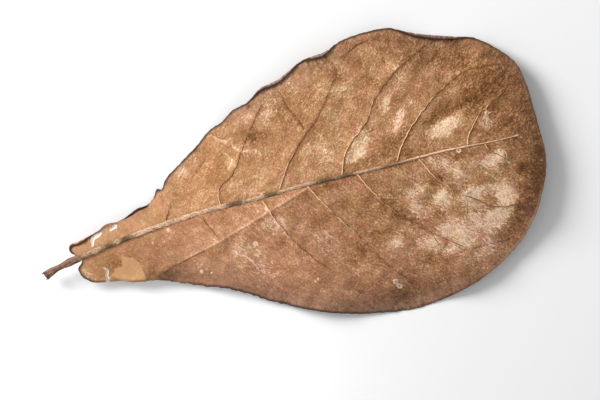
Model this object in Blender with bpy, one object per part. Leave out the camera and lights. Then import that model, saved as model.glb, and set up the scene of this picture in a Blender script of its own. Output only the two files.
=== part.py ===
"""A dried Indian almond leaf, grown as one piece: stalk, midrib, side veins and a waved blade.

The leaf lies with its underside up, so its ribs stand out on the face that is seen from above.
+X runs from the cut end of the stalk to the round tip, +Y to the leaf's far edge, and +Z is up.
The origin is on the surface that the leaf lies on, under the middle of the leaf.

Sizes are in millimetres. A place on the leaf is (along, across): along from the cut end of the
stalk, across from a line through it. MM turns them into metres when the mesh is made.
"""
import bpy
import numpy as np
from mathutils import Vector
from mathutils.geometry import delaunay_2d_cdt

MM = 0.001

# Thicknesses and widths
BLADE_THICKNESS = 0.6
STALK_RADIUS = [(0, 2.1), (3, 1.9), (10, 1.5), (16, 1.8), (20, 1.8)]
MIDRIB_HALF_WIDTH = [(16, 1.8), (40, 1.7), (90, 1.5), (150, 1.3), (205, 1.0), (229, 0.7)]
MIDRIB_RISE = [(16, 1.8), (40, 1.9), (90, 1.8), (150, 1.5), (205, 1.0), (229, 0.4)]
MIDRIB_KEEL = [(16, 1.8), (24, 1.2), (60, 0.0)]
VEIN_HALF_WIDTH = 0.95
VEIN_RISE = 0.8
VEIN_TIP_RISE = 0.35
CROSS_VEIN_RISE = 0.5
CROSS_VEIN_SPREAD = 1.8

# Ribs, from the stalk outwards
STALK = [(0, 0), (5, 1.8), (10, 2.8), (15, 3.6), (20, 4.2)]
MIDRIB = [(20, 4.2), (39, 6.2), (57, 7.5), (82, 8.1), (107, 7.0), (130, 6.7), (163, 4.6),
          (194, 3.6), (222, 1.1), (229, 0.8)]
FAR_VEINS = [
    [(61.7, 8.9), (65, 13.9), (66.7, 17.2)],
    [(88.3, 9), (88.3, 12.5), (90.3, 16.7), (96.7, 20.5), (106.3, 32.5), (119.4, 48.1)],
    [(116.7, 8.5), (121.7, 15.8), (130, 24.7), (143.8, 36.3), (155, 50)],
    [(145.8, 6.3), (150, 15.3), (165, 28.3), (168.7, 33.7), (180.7, 43.7), (200, 53.3)],
    [(172, 5.3), (176.7, 12.3), (184.7, 20), (200, 30.5), (217.3, 36.7), (230, 35.1)],
    [(205.9, 4.3), (210, 10.7), (214.7, 15.3), (228, 21.7)],
]
NEAR_VEINS = [
    [(78.3, 6), (82.5, -5), (87, -11), (96.7, -23.7)],
    [(107.5, 5), (113.3, -11.7), (121.3, -25), (128, -34)],
    [(129.2, 5.8), (135.3, -6.3), (147.3, -26.3), (156, -41.7), (162.7, -49.7)],
    [(152.5, 5), (160, -10.3), (175.3, -28.3), (190, -41)],
    [(181.9, 3.3), (187.3, -7.7), (200.7, -21), (211.3, -28.3), (220, -29.7)],
    [(213, 1.3), (214.3, -2), (220, -7)],
]

# The edge of the blade: a lobe beside the stalk, the long margin, then the round tip
FAR_LOBE = [(17.2, 6.0), (15.4, 8.1), (15.7, 10.3)]
FAR_MARGIN = [(20, 11.4), (25, 12.2), (30.6, 13.5), (35, 15.4), (40, 15.0), (44.4, 15.8),
              (50, 18.1), (56.7, 18.9), (60.2, 22.0), (62.1, 24.3), (63.4, 23.6), (67.2, 27.5),
              (75, 32.3), (85, 38), (93.4, 43.4), (100.6, 45.9), (105, 48.6), (114.7, 51.3),
              (121, 55.3), (130, 57), (143.4, 62.2), (155, 63.3), (163, 66), (176.7, 66.6),
              (184.7, 65.6), (192, 61.9), (203, 56.3), (215, 52), (221.3, 50.3), (230, 43.7),
              (238.3, 31.7)]
TIP = [(239.6, 22), (239.6, 10), (239.4, 0), (239.0, -9)]
NEAR_MARGIN = [(21.1, -8.1), (27.6, -10), (33.9, -11.1), (38.3, -13.1), (50, -15.6),
               (57.8, -18.6), (65, -22.2), (75, -26.3), (85.3, -31.3), (94.7, -37.7),
               (106.7, -45), (120, -52), (133.3, -56.9), (146.7, -60.2), (160, -62.6),
               (176.7, -61.8), (190, -59.3), (203.3, -54.3), (216.7, -46.3), (226.7, -36.3),
               (233.7, -25), (238, -15)]
NEAR_LOBE = [(19.0, 1.4), (16.9, -0.4), (17, -3)]

# Tears in the thin blade beside the stalk
FAR_TEARS = [
    [(26.1, 7.6), (26.9, 10), (28.3, 11.2), (31.5, 12.1)],
    [(35.8, 12.2), (37.3, 12.9), (39.2, 13.5)],
]
NEAR_TEAR = [(28.3, -3.6), (29.3, -5.3), (28.4, -7.2), (28.3, -9)]
TEAR_HALF_WIDTH = 0.6

# How high the blade's middle surface stands over the table, along the leaf
RIDGE_HEIGHT = [(0, 6.5), (20, 8), (60, 10), (110, 13), (150, 15), (185, 15.3), (210, 13.8),
                (228, 11), (240, 8.5)]
FAR_EDGE_HEIGHT = [(16, 6), (40, 4.5), (62, 2.6), (76, 2), (92, 2.6), (110, 4.5), (130, 6.2),
                   (150, 6), (170, 5), (190, 3.4), (205, 2.2), (214, 2), (224, 2.8), (232, 4.8),
                   (240, 7.5)]
NEAR_EDGE_HEIGHT = [(16, 6), (40, 5), (70, 3.5), (100, 3), (130, 2.8), (150, 2.3), (160, 2.1),
                    (172, 2.6), (190, 3.8), (210, 5.5), (225, 7), (240, 8)]
ROOF_ROUNDING = 1.25
BLADE_STARTS = 20
REACH_ENDS = 222

# A crease in the near half, from the margin up to the midrib
CREASE = [(51, -15), (60, -11.5), (75, -8.6), (93, -4.5), (112, 0.5), (129, 5)]
CREASE_LIFT = 3.2

# Waves of the margin, puckers between the veins and the curled-up strips of the far margin
WAVE_HEIGHT = 0.9
WAVE_LENGTH = 37.0
PUCKER_HEIGHT = 0.55
PUCKER_LENGTH = 17.0
PUCKER_STARTS = 8.0
VEIN_CREST = 0.9
VEIN_CREST_SPREAD = 7.0
CURLED_SPANS = [(14, 28), (114, 144), (142, 161), (186, 224)]
CURL_RISE = 1.6
CURL_WIDTH = 2.6

# The three low spots that the leaf rests on
REST_SPOTS = [(76, 28.5), (160, -58.5), (213, 48)]
SET_DOWN_SPREAD = 13.0
SET_DOWN_DEPTH = 0.5

# Spacing of the mesh's points
EDGE_STEP = 2.6
RIB_STEP = 4.0
VEIN_STEP = 3.4
CROSS_VEIN_EVERY = 8.0
CROSS_VEIN_STEP = 3.4
FILL_STEP = 4.1
FILL_REACH = ((15, 241), (-64, 68))
FILL_JITTER = 0.7
JITTER_SEED = 7
TEAR_STEP = 1.6
MIDRIB_ROWS = (0, 0.6, -0.6, 1, -1)
VEIN_ROWS = (0, 1, -1)
HEM_ROWS = (0.4, 1)

# How near to other points a new point of each kind may lie
MIDRIB_CLEARANCE = 0.38
VEIN_CLEARANCE = 0.62
HEM_CLEARANCE = 0.8
CREASE_CLEARANCE = 1.6
CROSS_VEIN_CLEARANCE = 2.1
FILL_CLEARANCE = 2.3


def smooth_path(points, step):
    """Points about one step apart on a smooth curve through the given points."""
    knots = np.array(points, dtype=float)
    chord = np.linalg.norm(np.diff(knots, axis=0), axis=1)
    at = np.concatenate([[0], np.cumsum(chord)])
    slope = np.gradient(knots, at, axis=0)
    places = [knots[:1]]
    for i, length in enumerate(chord):
        parts = max(1, round(length / step))
        t = (np.arange(parts) + 1)[:, None] / parts
        places.append(hermite(t, length, knots[i], knots[i + 1], slope[i], slope[i + 1]))
    return np.vstack(places)


def hermite(t, length, start, end, start_slope, end_slope):
    """The cubic from start to end with the given slopes, read at shares t of its length."""
    return ((1 + 2 * t) * (1 - t) ** 2 * start + t * (1 - t) ** 2 * length * start_slope
            + t * t * (3 - 2 * t) * end + t * t * (t - 1) * length * end_slope)


def curve_at(points, x):
    """The smooth curve through (place, value) points, read at x and level past its ends."""
    place, value = np.array(points, dtype=float).T
    slope = np.gradient(value, place)
    x = np.clip(x, place[0], place[-1])
    i = np.clip(np.searchsorted(place, x) - 1, 0, len(place) - 2)
    length = place[i + 1] - place[i]
    t = (x - place[i]) / length
    return hermite(t, length, value[i], value[i + 1], slope[i], slope[i + 1])


def distance_to_path(places, path):
    """Distance from each place to the nearest point of the path."""
    run = np.diff(path, axis=0)
    out = places[:, None, :] - path[None, :-1, :]
    part = np.clip((out * run).sum(2) / (run * run).sum(1), 0, 1)
    gap = out - part[..., None] * run
    return np.sqrt((gap * gap).sum(2)).min(1)


def inside(places, loop):
    """Whether each place is inside the closed loop."""
    x, y = places.T[:, :, None]
    x0, y0 = loop.T
    x1, y1 = np.roll(loop, -1, axis=0).T
    spans = (y0 > y) != (y1 > y)
    rise = np.where(y1 == y0, 1, y1 - y0)
    crossed = spans & (x < x0 + (y - y0) * (x1 - x0) / rise)
    return crossed.sum(1) % 2 == 1


def offset_path(path, half_widths):
    """The path moved to its left by the half width at each point."""
    run = np.gradient(path, axis=0)
    left = np.column_stack([-run[:, 1], run[:, 0]])
    left /= np.linalg.norm(left, axis=1)[:, None]
    return path + left * np.broadcast_to(half_widths, len(path))[:, None]


def tear_sides(points):
    """Both sides of a tear, which narrows to a point at its first end."""
    path = smooth_path(points, TEAR_STEP)
    share = np.linspace(0, 1, len(path))
    half = TEAR_HALF_WIDTH * np.sqrt(share)
    return offset_path(path, half), offset_path(path, -half)


def closed_tear(points):
    """The closed loop of a tear inside the blade, narrow at both ends."""
    path = smooth_path(points, TEAR_STEP)
    share = np.linspace(0, 1, len(path))
    half = 2 * TEAR_HALF_WIDTH * np.sqrt(share * (1 - share))
    there = offset_path(path, half)
    back = offset_path(path, -half)[-2:0:-1]
    return np.vstack([there, back])


def stalk_sides():
    """The stalk's far and near sides, from its cut end to the blade."""
    path = smooth_path(STALK, RIB_STEP)[:-1]
    radius = curve_at(STALK_RADIUS, path[:, 0])
    return offset_path(path, radius), offset_path(path, -radius)


def leaf_outline():
    """The leaf's outline, once round and anticlockwise, from the cut end of the stalk."""
    far_stalk, near_stalk = stalk_sides()
    near_margin = smooth_path(NEAR_LOBE + NEAR_MARGIN + TIP[::-1] + FAR_MARGIN[::-1]
                              + FAR_LOBE[::-1], EDGE_STEP)
    before, after = tear_sides(NEAR_TEAR)
    nearest = np.linalg.norm(near_margin - (before[-1] + after[-1]) / 2, axis=1).argmin()
    around = [near_stalk, near_margin[:nearest], after[::-1], before[1:],
              near_margin[nearest + 1:], far_stalk[::-1]]
    return np.vstack(around)


def cross_veins(veins):
    """Thin veins that step across from each side vein to the next, bowed outwards."""
    paths = [smooth_path(points, 1.0) for points in veins]
    lines = []
    for inner, outer in zip(paths, paths[1:]):
        shorter = min(len(inner), len(outer))
        for i in np.arange(8, shorter - 2, CROSS_VEIN_EVERY).astype(int):
            start = inner[i]
            end = outer[min(i * len(outer) // len(inner) + 2, len(outer) - 1)]
            middle = (start + end) / 2 + (0.08 * (end - start)[1], -0.08 * (end - start)[0])
            lines.append(smooth_path([start, middle, end], CROSS_VEIN_STEP))
    return lines


class Leaf:
    """The leaf's lines, worked out once, and the heights that they give each place."""

    def __init__(self):
        self.outline = leaf_outline()
        self.tears = [closed_tear(points) for points in FAR_TEARS]
        self.rib = smooth_path(STALK + MIDRIB[1:], RIB_STEP)
        self.veins = [smooth_path(points, VEIN_STEP) for points in FAR_VEINS + NEAR_VEINS]
        self.crosses = cross_veins(FAR_VEINS) + cross_veins(NEAR_VEINS)
        self.margin = smooth_path(FAR_LOBE + FAR_MARGIN, EDGE_STEP)
        self.set_down = [(spot, self.form(np.array([spot], dtype=float))[0])
                         for spot in REST_SPOTS]

    def on_leaf(self, places):
        """Whether each place is on the leaf and not in a tear."""
        torn = sum(inside(places, tear) for tear in self.tears)
        return inside(places, self.outline) & (torn == 0)

    def form(self, places):
        """Height of the blade's middle surface as it would hang over the table."""
        along, across = places.T
        held = np.clip(along, BLADE_STARTS, REACH_ENDS)
        off = across - curve_at(MIDRIB, along)
        far = off > 0
        reach = np.where(far, curve_at(FAR_MARGIN, held), -curve_at(NEAR_MARGIN, held))
        reach = reach + np.where(far, -1, 1) * curve_at(MIDRIB, held)
        share = np.abs(off) / reach
        ridge = curve_at(RIDGE_HEIGHT, along)
        edge = np.where(far, curve_at(FAR_EDGE_HEIGHT, along), curve_at(NEAR_EDGE_HEIGHT, along))
        height = ridge + (edge - ridge) * share ** ROOF_ROUNDING
        height += self.crease_lift(along, off, reach)
        height += WAVE_HEIGHT * share ** 2 * np.sin(2 * np.pi * along / WAVE_LENGTH + 2 * far)
        height += self.pucker(places) * np.minimum(1, np.abs(off) / PUCKER_STARTS)
        return height + self.curl(places, far)

    def crease_lift(self, along, off, reach):
        """The near half stays up as far as the crease, then falls to the margin."""
        to_crease = np.maximum(curve_at(MIDRIB, along) - curve_at(CREASE, along), 1)
        beyond = np.maximum(reach - to_crease, 1)
        rise = np.minimum(-off / to_crease, (reach + off) / beyond)
        window = np.sin(np.pi * np.clip((along - CREASE[0][0]) / (CREASE[-1][0] - CREASE[0][0]),
                                        0, 1))
        return CREASE_LIFT * window * np.maximum(rise, 0)

    def pucker(self, places):
        """The side veins lie on crests and the blade between them is puckered."""
        along, across = places.T
        turn = 2 * np.pi / PUCKER_LENGTH
        rough = np.sin(turn * along + 1.7 * np.sin(0.6 * turn * across))
        rough = rough * np.sin(0.9 * turn * across + 1.2 * np.sin(0.5 * turn * along))
        nearest = np.min([distance_to_path(places, vein) for vein in self.veins], axis=0)
        return PUCKER_HEIGHT * rough + VEIN_CREST * np.exp(-nearest / VEIN_CREST_SPREAD)

    def curl(self, places, far):
        """Strips of the far margin curl up."""
        along = places[:, 0]
        gap = distance_to_path(places, self.margin)
        rise = CURL_RISE * np.clip(1 - gap / CURL_WIDTH, 0, 1) ** 2
        spans = sum(np.sin(np.pi * np.clip((along - start) / (end - start), 0, 1)) ** 0.7
                    for start, end in CURLED_SPANS)
        return np.where(far, rise * np.minimum(spans, 1), 0)

    def height(self, places):
        """Height of the middle surface once the leaf has settled onto its three spots."""
        height = self.form(places)
        for spot, over in self.set_down:
            gap = np.linalg.norm(places - spot, axis=1)
            lower = over - BLADE_THICKNESS / 2 + SET_DOWN_DEPTH
            height = height - lower * np.exp(-(gap / SET_DOWN_SPREAD) ** 2)
        return height

    def vertical_thickness(self, places):
        """The blade's thickness measured straight up, which grows with its slope."""
        step = 0.5
        here = self.height(places)
        slope_along = (self.height(places + (step, 0)) - here) / step
        slope_across = (self.height(places + (0, step)) - here) / step
        return BLADE_THICKNESS * np.minimum(np.sqrt(1 + slope_along ** 2 + slope_across ** 2), 2)

    def ribs(self, places):
        """How far the ribs stand out of the upper face, and the stalk and midrib of the lower."""
        along = places[:, 0]
        on_stalk = along < MIDRIB_HALF_WIDTH[0][0]
        half = np.where(on_stalk, curve_at(STALK_RADIUS, along),
                        curve_at(MIDRIB_HALF_WIDTH, along))
        gap = distance_to_path(places, self.rib)
        section = np.sqrt(np.clip(1 - (gap / half) ** 2, 0, 1))
        rise = np.where(on_stalk, half, curve_at(MIDRIB_RISE, along)) * section
        keel = np.where(on_stalk, half, curve_at(MIDRIB_KEEL, along)) * section
        for vein in self.veins:
            gap = distance_to_path(places, vein)
            out = np.linalg.norm(places - vein[0], axis=1)
            length = np.linalg.norm(vein[-1] - vein[0])
            crest = VEIN_RISE + (VEIN_TIP_RISE - VEIN_RISE) * np.clip(out / length, 0, 1)
            section = np.sqrt(np.clip(1 - (gap / VEIN_HALF_WIDTH) ** 2, 0, 1))
            rise = np.maximum(rise, crest * section)
        gap = np.min([distance_to_path(places, line) for line in self.crosses], axis=0)
        rise = rise + CROSS_VEIN_RISE * np.exp(-(gap / CROSS_VEIN_SPREAD) ** 2)
        return rise, keel

    def faces_at(self, places):
        """Heights of the upper and the lower face; the lower one is flat where it touches."""
        middle = self.height(places)
        thickness = self.vertical_thickness(places)
        rise, keel = self.ribs(places)
        lower = np.maximum(middle - thickness / 2 - keel, 0)
        upper = np.maximum(middle + thickness / 2, thickness) + rise
        return upper, lower


class Pattern:
    """The points of the flat pattern, each kept clear of those before it."""

    def __init__(self, leaf):
        self.leaf = leaf
        self.places = np.empty((0, 2))
        self.edges = []

    def add_loop(self, loop):
        """A closed edge of the leaf."""
        first = len(self.places)
        count = len(loop)
        self.places = np.vstack([self.places, loop])
        self.edges += [(first + i, first + (i + 1) % count) for i in range(count)]

    def add_line(self, line, clearance):
        """Points along a rib, joined where they follow one another."""
        before = None
        for place in line:
            gap = np.linalg.norm(self.places - place, axis=1).min()
            if gap < clearance or not self.leaf.on_leaf(place[None])[0]:
                before = None
                continue
            if before is not None:
                self.edges.append((before, len(self.places)))
            before = len(self.places)
            self.places = np.vstack([self.places, place])

    def add_points(self, points, clearance):
        """Loose points of the blade, kept well off the lines and the edge."""
        on = self.leaf.on_leaf(points)
        for place in points[on]:
            if np.linalg.norm(self.places - place, axis=1).min() >= clearance:
                self.places = np.vstack([self.places, place])

    def triangles(self):
        """The pattern's places and its triangles, without the tears."""
        seeds = [Vector(place) for place in self.places]
        places, _, faces, *_ = delaunay_2d_cdt(seeds, self.edges, [], 0, 1e-4)
        places = np.array([tuple(place) for place in places])
        faces = np.array(faces)
        faces = faces[self.leaf.on_leaf(places[faces].mean(axis=1))]
        used, numbers = np.unique(faces, return_inverse=True)
        return places[used], numbers.reshape(faces.shape)


def rib_rows(leaf):
    """Rows of points along the stalk and midrib: crest, shoulders and feet."""
    along = leaf.rib[:, 0]
    half = np.where(along < MIDRIB_HALF_WIDTH[0][0], curve_at(STALK_RADIUS, along),
                    curve_at(MIDRIB_HALF_WIDTH, along))
    return [offset_path(leaf.rib, share * half) for share in MIDRIB_ROWS]


def vein_rows(leaf, vein):
    """Rows of points along a side vein, clear of the midrib."""
    along = vein[:, 0]
    clear = np.abs(vein[:, 1] - curve_at(MIDRIB, along)) > curve_at(MIDRIB_HALF_WIDTH, along) + 0.9
    row = vein[clear]
    return [offset_path(row, share * VEIN_HALF_WIDTH) for share in VEIN_ROWS]


def hem_rows(leaf):
    """Rows that hold the curled strips of the far margin."""
    along = leaf.margin[:, 0]
    rows = []
    for start, end in CURLED_SPANS:
        span = leaf.margin[(along > start) & (along < end)]
        rows += [offset_path(span, -CURL_WIDTH * share) for share in HEM_ROWS]
    return rows


def fill_points():
    """Points in staggered rows over the whole blade, each a little out of line."""
    draw = np.random.default_rng(JITTER_SEED)
    columns = np.arange(*FILL_REACH[0], FILL_STEP)
    rows = np.arange(*FILL_REACH[1], FILL_STEP * np.sin(np.pi / 3))
    points = [(along + (row % 2) * FILL_STEP / 2, across)
              for row, across in enumerate(rows) for along in columns]
    return np.array(points) + draw.uniform(-FILL_JITTER, FILL_JITTER, (len(points), 2))


def leaf_pattern(leaf):
    """The flat pattern, split into triangles that follow the ribs."""
    pattern = Pattern(leaf)
    pattern.add_loop(leaf.outline)
    for tear in leaf.tears:
        pattern.add_loop(tear)
    for row in rib_rows(leaf):
        pattern.add_line(row, MIDRIB_CLEARANCE)
    for vein in leaf.veins:
        for row in vein_rows(leaf, vein):
            pattern.add_line(row, VEIN_CLEARANCE)
    for row in hem_rows(leaf):
        pattern.add_line(row, HEM_CLEARANCE)
    pattern.add_line(smooth_path(CREASE, RIB_STEP), CREASE_CLEARANCE)
    for line in leaf.crosses:
        pattern.add_line(line, CROSS_VEIN_CLEARANCE)
    pattern.add_points(fill_points(), FILL_CLEARANCE)
    return pattern.triangles()


def solid_mesh(name, places, triangles, upper, lower):
    """One closed mesh: the same triangles on both faces, joined by a rim."""
    count = len(places)
    corners = places[triangles]
    first = corners[:, 1] - corners[:, 0]
    second = corners[:, 2] - corners[:, 0]
    flipped = first[:, 0] * second[:, 1] < first[:, 1] * second[:, 0]
    triangles[flipped] = triangles[flipped][:, ::-1]
    faces = [tuple(face) for face in triangles.tolist()]
    sides = {(face[i - 1], face[i]) for face in faces for i in range(3)}
    faces += [(count + c, count + b, count + a) for a, b, c in faces]
    for a, b in sorted(sides):
        if (b, a) not in sides:
            faces += [(a, count + a, count + b), (a, count + b, b)]
    flat = places - (places.min(axis=0) + places.max(axis=0)) / 2
    points = np.vstack([np.column_stack([flat, upper]), np.column_stack([flat, lower])]) * MM
    mesh = bpy.data.meshes.new(name)
    mesh.from_pydata(points.tolist(), [], faces)
    mesh.validate()
    return mesh


def dried_leaf_material():
    """Matt warm brown of a dried leaf."""
    material = bpy.data.materials.new("dried_leaf")
    material.use_nodes = True
    shader = material.node_tree.nodes["Principled BSDF"]
    shader.inputs["Base Color"].default_value = (0.40, 0.22, 0.12, 1)
    shader.inputs["Roughness"].default_value = 0.75
    shader.inputs["Metallic"].default_value = 0.0
    return material


def make_leaf():
    """The whole leaf as one object."""
    leaf = Leaf()
    places, triangles = leaf_pattern(leaf)
    upper, lower = leaf.faces_at(places)
    mesh = solid_mesh("leaf", places, triangles, upper, lower)
    mesh.materials.append(dried_leaf_material())
    mesh.shade_smooth()
    mesh.set_sharp_from_angle(angle=np.radians(50))
    bpy.context.scene.collection.objects.link(bpy.data.objects.new("leaf", mesh))


def main():
    """Clears the scene and models the leaf."""
    for thing in list(bpy.data.objects):
        bpy.data.objects.remove(thing)
    make_leaf()


main()
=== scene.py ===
"""The looks of a dried Indian almond leaf that lies underside up on a pale table.

The leaf is made of three pieces that replace its one CAD solid: the thin blade with its curled
margin, tears and net of fine veins, the stalk that runs on into the midrib, and the side veins.
Geometry nodes raise the net on the blade and sweep every rib along its path.

Sizes are in millimetres. A place on the leaf is (along, across): along from the cut end of the
stalk, across from a line through it. The far half is the upper one in the photograph. MM and the
middle of the pattern turn places into metres in the frame.
"""
import math

import bpy
import numpy as np
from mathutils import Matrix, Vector
from mathutils.geometry import delaunay_2d_cdt
from mathutils.kdtree import KDTree


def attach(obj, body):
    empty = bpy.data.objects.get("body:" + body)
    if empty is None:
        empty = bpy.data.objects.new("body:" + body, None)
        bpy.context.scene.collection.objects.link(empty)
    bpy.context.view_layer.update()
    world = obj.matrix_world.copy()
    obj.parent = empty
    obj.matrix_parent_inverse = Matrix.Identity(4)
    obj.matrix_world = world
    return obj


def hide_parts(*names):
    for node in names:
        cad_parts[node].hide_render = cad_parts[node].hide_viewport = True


MM = 0.001

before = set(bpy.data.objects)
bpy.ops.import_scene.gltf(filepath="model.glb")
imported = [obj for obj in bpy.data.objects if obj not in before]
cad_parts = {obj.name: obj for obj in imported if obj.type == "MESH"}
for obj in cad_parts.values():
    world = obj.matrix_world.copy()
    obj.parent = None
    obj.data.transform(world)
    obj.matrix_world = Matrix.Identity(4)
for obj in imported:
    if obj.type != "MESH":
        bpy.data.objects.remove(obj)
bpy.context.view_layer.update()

# Ribs, from the stalk outwards, finer and flatter than the solid's: sizes as (along, size)
# points, then the paths of the stalk, the midrib and the side veins
STALK_RADIUS = [(0, 2.1), (3, 1.9), (10, 1.5), (16, 1.8), (20, 1.8)]
MIDRIB_HALF_WIDTH = [(16, 1.7), (24, 1.35), (35, 1.2), (45, 1.25), (60, 1.25), (90, 1.22),
                     (120, 0.92), (140, 0.9), (155, 0.8), (175, 0.62), (198, 0.48), (207, 0.4),
                     (211, 0.3), (222, 0.25), (226.5, 0.24), (228.2, 0.4), (229, 0.3)]
MIDRIB_RISE = [(16, 1.7), (30, 1.05), (55, 0.72), (90, 0.72), (150, 0.68), (180, 0.6), (205, 0.48),
               (215, 0.42), (226.5, 0.38), (228.2, 0.55), (229, 0.3)]
MIDRIB_KEEL = [(16, 1.8), (24, 1.2), (60, 0.5), (120, 0.35), (208, 0.2), (229, 0.15)]
STALK_STARTS = 1.1
SPLINTERS = [[(4.5, 2.2), (2.2, 2.0), (-0.3, 1.9)], [(4.5, 0.9), (2.6, -0.4), (1.1, -1.3)]]
SPLINTER_HALF_WIDTH = (0.95, 0.18)
STALK = [(0, 0), (5, 1.8), (10, 2.8), (15, 3.6), (20, 4.2)]
MIDRIB = [(20, 4.2), (39, 6.2), (57, 7.5), (82, 8.1), (107, 7.0), (130, 6.7), (163, 4.6),
          (194, 3.6), (222, 1.1), (229, 0.8)]
FAR_VEINS = [
    [(61.7, 8.9), (65, 13.9), (66.7, 17.2)],
    [(88.3, 9), (88.3, 12.5), (90.3, 16.7), (96.7, 20.5), (106.3, 32.5), (119.4, 48.1)],
    [(116.7, 8.5), (121.7, 15.8), (130, 24.7), (143.8, 36.3), (155, 50)],
    [(145.8, 6.3), (150, 15.3), (165, 28.3), (168.7, 33.7), (180.7, 43.7), (200, 53.3)],
    [(172, 5.3), (176.7, 12.3), (184.7, 20), (200, 30.5), (217.3, 36.7), (230, 35.1)],
    [(205.4, 3.4), (207.2, 7.5), (210.4, 11.1), (214.7, 15.0), (228, 21.7)],
]
NEAR_VEINS = [
    [(78.3, 6), (80.2, 1), (83, -5.4)],
    [(107.5, 5), (113.3, -11.7), (121.3, -25), (128, -34)],
    [(129.2, 5.8), (135.3, -6.3), (147.3, -26.3), (156, -41.7), (162.7, -49.7)],
    [(152.5, 5), (160, -10.3), (175.3, -28.3), (190, -41)],
    [(181.9, 3.3), (187.3, -7.7), (200.7, -21), (211.3, -28.3), (220, -29.7)],
    [(213, 1.3), (214.3, -2), (220, -7)],
]

# The edge of the blade, nearly as in the solid: a lobe beside the stalk, the margin and the tip
FAR_LOBE = [(17.2, 6.0), (15.4, 8.1), (15.7, 10.3)]
FAR_MARGIN = [(20, 11.4), (25, 12.2), (30.6, 13.5), (35, 15.4), (40, 15.0), (44.4, 15.8),
              (50, 18.1), (56.7, 18.9), (60.2, 22.0), (62.1, 24.3), (63.4, 23.6), (67.2, 27.5),
              (75, 32.3), (85, 38), (93.4, 43.4), (100.6, 45.9), (105, 48.6), (114.7, 51.3),
              (121, 55.3), (130, 57), (143.4, 62.2), (155, 63.3), (163, 66), (176.7, 66.6),
              (184.9, 65.8), (192, 62.2), (197.5, 59.4), (203.3, 57.0), (209.3, 54.9), (215, 52.7),
              (221.3, 50.7), (230, 43.7), (238.3, 31.7)]
TIP = [(239.6, 22), (239.6, 10), (239.4, 0), (239.0, -9)]
NEAR_MARGIN = [(21.1, -8.1), (27.6, -10), (33.9, -11.1), (38.3, -13.1), (50, -15.6),
               (57.8, -18.6), (65, -22.2), (75, -26.3), (85.3, -31.3), (94.7, -37.7),
               (106.7, -45), (120, -52), (133.3, -56.9), (146.7, -60.2), (160, -62.6),
               (176.7, -61.8), (190, -59.3), (203.3, -54.3), (216.7, -46.3), (226.7, -36.3),
               (233.7, -25), (238, -15)]
NEAR_LOBE = [(19.0, 1.4), (16.9, -0.4), (17, -3)]
UNDER_STALK = [(20.5, 4.3)]

# How far the dark rim reaches out past those lines on the far and on the near side
RIM_OUTSIDE = ([(15, 0.1), (60, 0.1), (70, 0.35), (110, 0.35), (122, 0.05), (185, 0.0), (195, 0.1),
                (222, 0.1), (236, 0.0)], [(15, 0.1), (40, 0.35), (105, 0.35), (120, 0.1)])

# Tears in the thin blade beside the stalk
FAR_TEARS = [
    [(26.1, 7.6), (26.9, 10), (28.3, 11.2), (31.5, 12.1)],
    [(35.8, 12.2), (37.3, 12.9), (39.2, 13.5)],
]
NEAR_TEAR = [(28.3, -3.6), (29.3, -5.3), (28.4, -7.2), (28.3, -9)]
INNER_TEAR_HALF_WIDTH = 1.32
EDGE_TEAR_HALF_WIDTH = 0.42

# How high the blade's middle surface stands over the table, as in the solid: the ridge and both
# margins as (along, height) points, then the crease, the waves and puckers, the crests under the
# side veins, and the three spots on which it rests
RIDGE_HEIGHT = [(0, 6.5), (20, 8), (60, 10), (110, 13), (150, 15), (185, 15.3), (210, 13.8),
                (228, 11), (240, 8.5)]
FAR_EDGE_HEIGHT = [(16, 6), (40, 4.5), (62, 2.6), (76, 2), (92, 2.6), (110, 4.5), (130, 6.2),
                   (150, 6), (170, 5), (190, 3.4), (205, 2.2), (214, 2), (224, 2.8), (232, 4.8),
                   (240, 7.5)]
NEAR_EDGE_HEIGHT = [(16, 6), (40, 5), (70, 3.5), (100, 3), (130, 2.8), (150, 2.3), (160, 2.1),
                    (172, 2.6), (190, 3.8), (210, 5.5), (225, 7), (240, 8)]
ROOF_ROUNDING = 1.25
BLADE_STARTS = 20
REACH_ENDS = 222
CREASE = [(51, -15), (60, -11.5), (75, -8.6), (93, -4.5), (112, 0.5), (129, 5)]
CREASE_LIFT = 2.2
WAVE_HEIGHT = 0.9
WAVE_LENGTH = 37.0
PUCKER_HEIGHT = 0.3
PUCKER_LENGTH = 17.0
PUCKER_STARTS = 8.0
VEIN_CREST = 0.9
VEIN_CREST_SPREAD = 7.0
REST_SPOTS = [(76, 28.5), (160, -58.5), (213, 48)]
SET_DOWN_SPREAD = 13.0
SET_DOWN_DEPTH = 0.5

# The blade's thickness, and the strips of the far margin that are rolled over: where each
# starts and ends, how many degrees it turns and how wide its flat end is
BLADE_THICKNESS = 0.36
SKIN = BLADE_THICKNESS / 2
CURL_RADIUS = 0.6
CURL_BAND = 4.0
CURLED_SPANS = [(13, 28, 165, 0.7), (43, 58, 150, 0.3), (114, 144, 168, 1.0),
                (142, 161, 165, 1.1), (186, 224, 168, 1.2)]

# Spacing of the fine mesh: rows of points beside the edge, the ribs and the folds, and a quiet
# fill between them. CHUNK is how many places are compared with a path at once.
CHUNK = 4000
PATTERN_BOX = ((15, 241), (-64, 68))
EDGE_STEP = 0.7
FILL_STEP = 0.75
FILL_JITTER = 0.08
HEM_CLEARANCE = 0.15
HEM_SPACING = 0.16
RIB_ROW_CLEARANCE = 0.3
RIB_ROW_SPACING = 0.4
JOIN_WITHIN = 1e-5
HEM_ROWS = (0.2, 0.4, 0.6, 0.8, 1.0, 1.2, 1.4, 1.6, 1.85, 2.1, 2.5, 2.9)
PLAIN_HEM_ROWS = (0.3, 0.7)
RIB_SIDE_ROWS = (0.85, 1.5)
MIDRIB_SIDE_ROWS = (0.35, 1.1)
FOLD_ROWS = (-0.6, 0, 0.6)
FOLD_STEP = 0.7
RIB_STEP = 0.8
VEIN_STEP = 0.6
COARSE_STEP = 3.4

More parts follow.
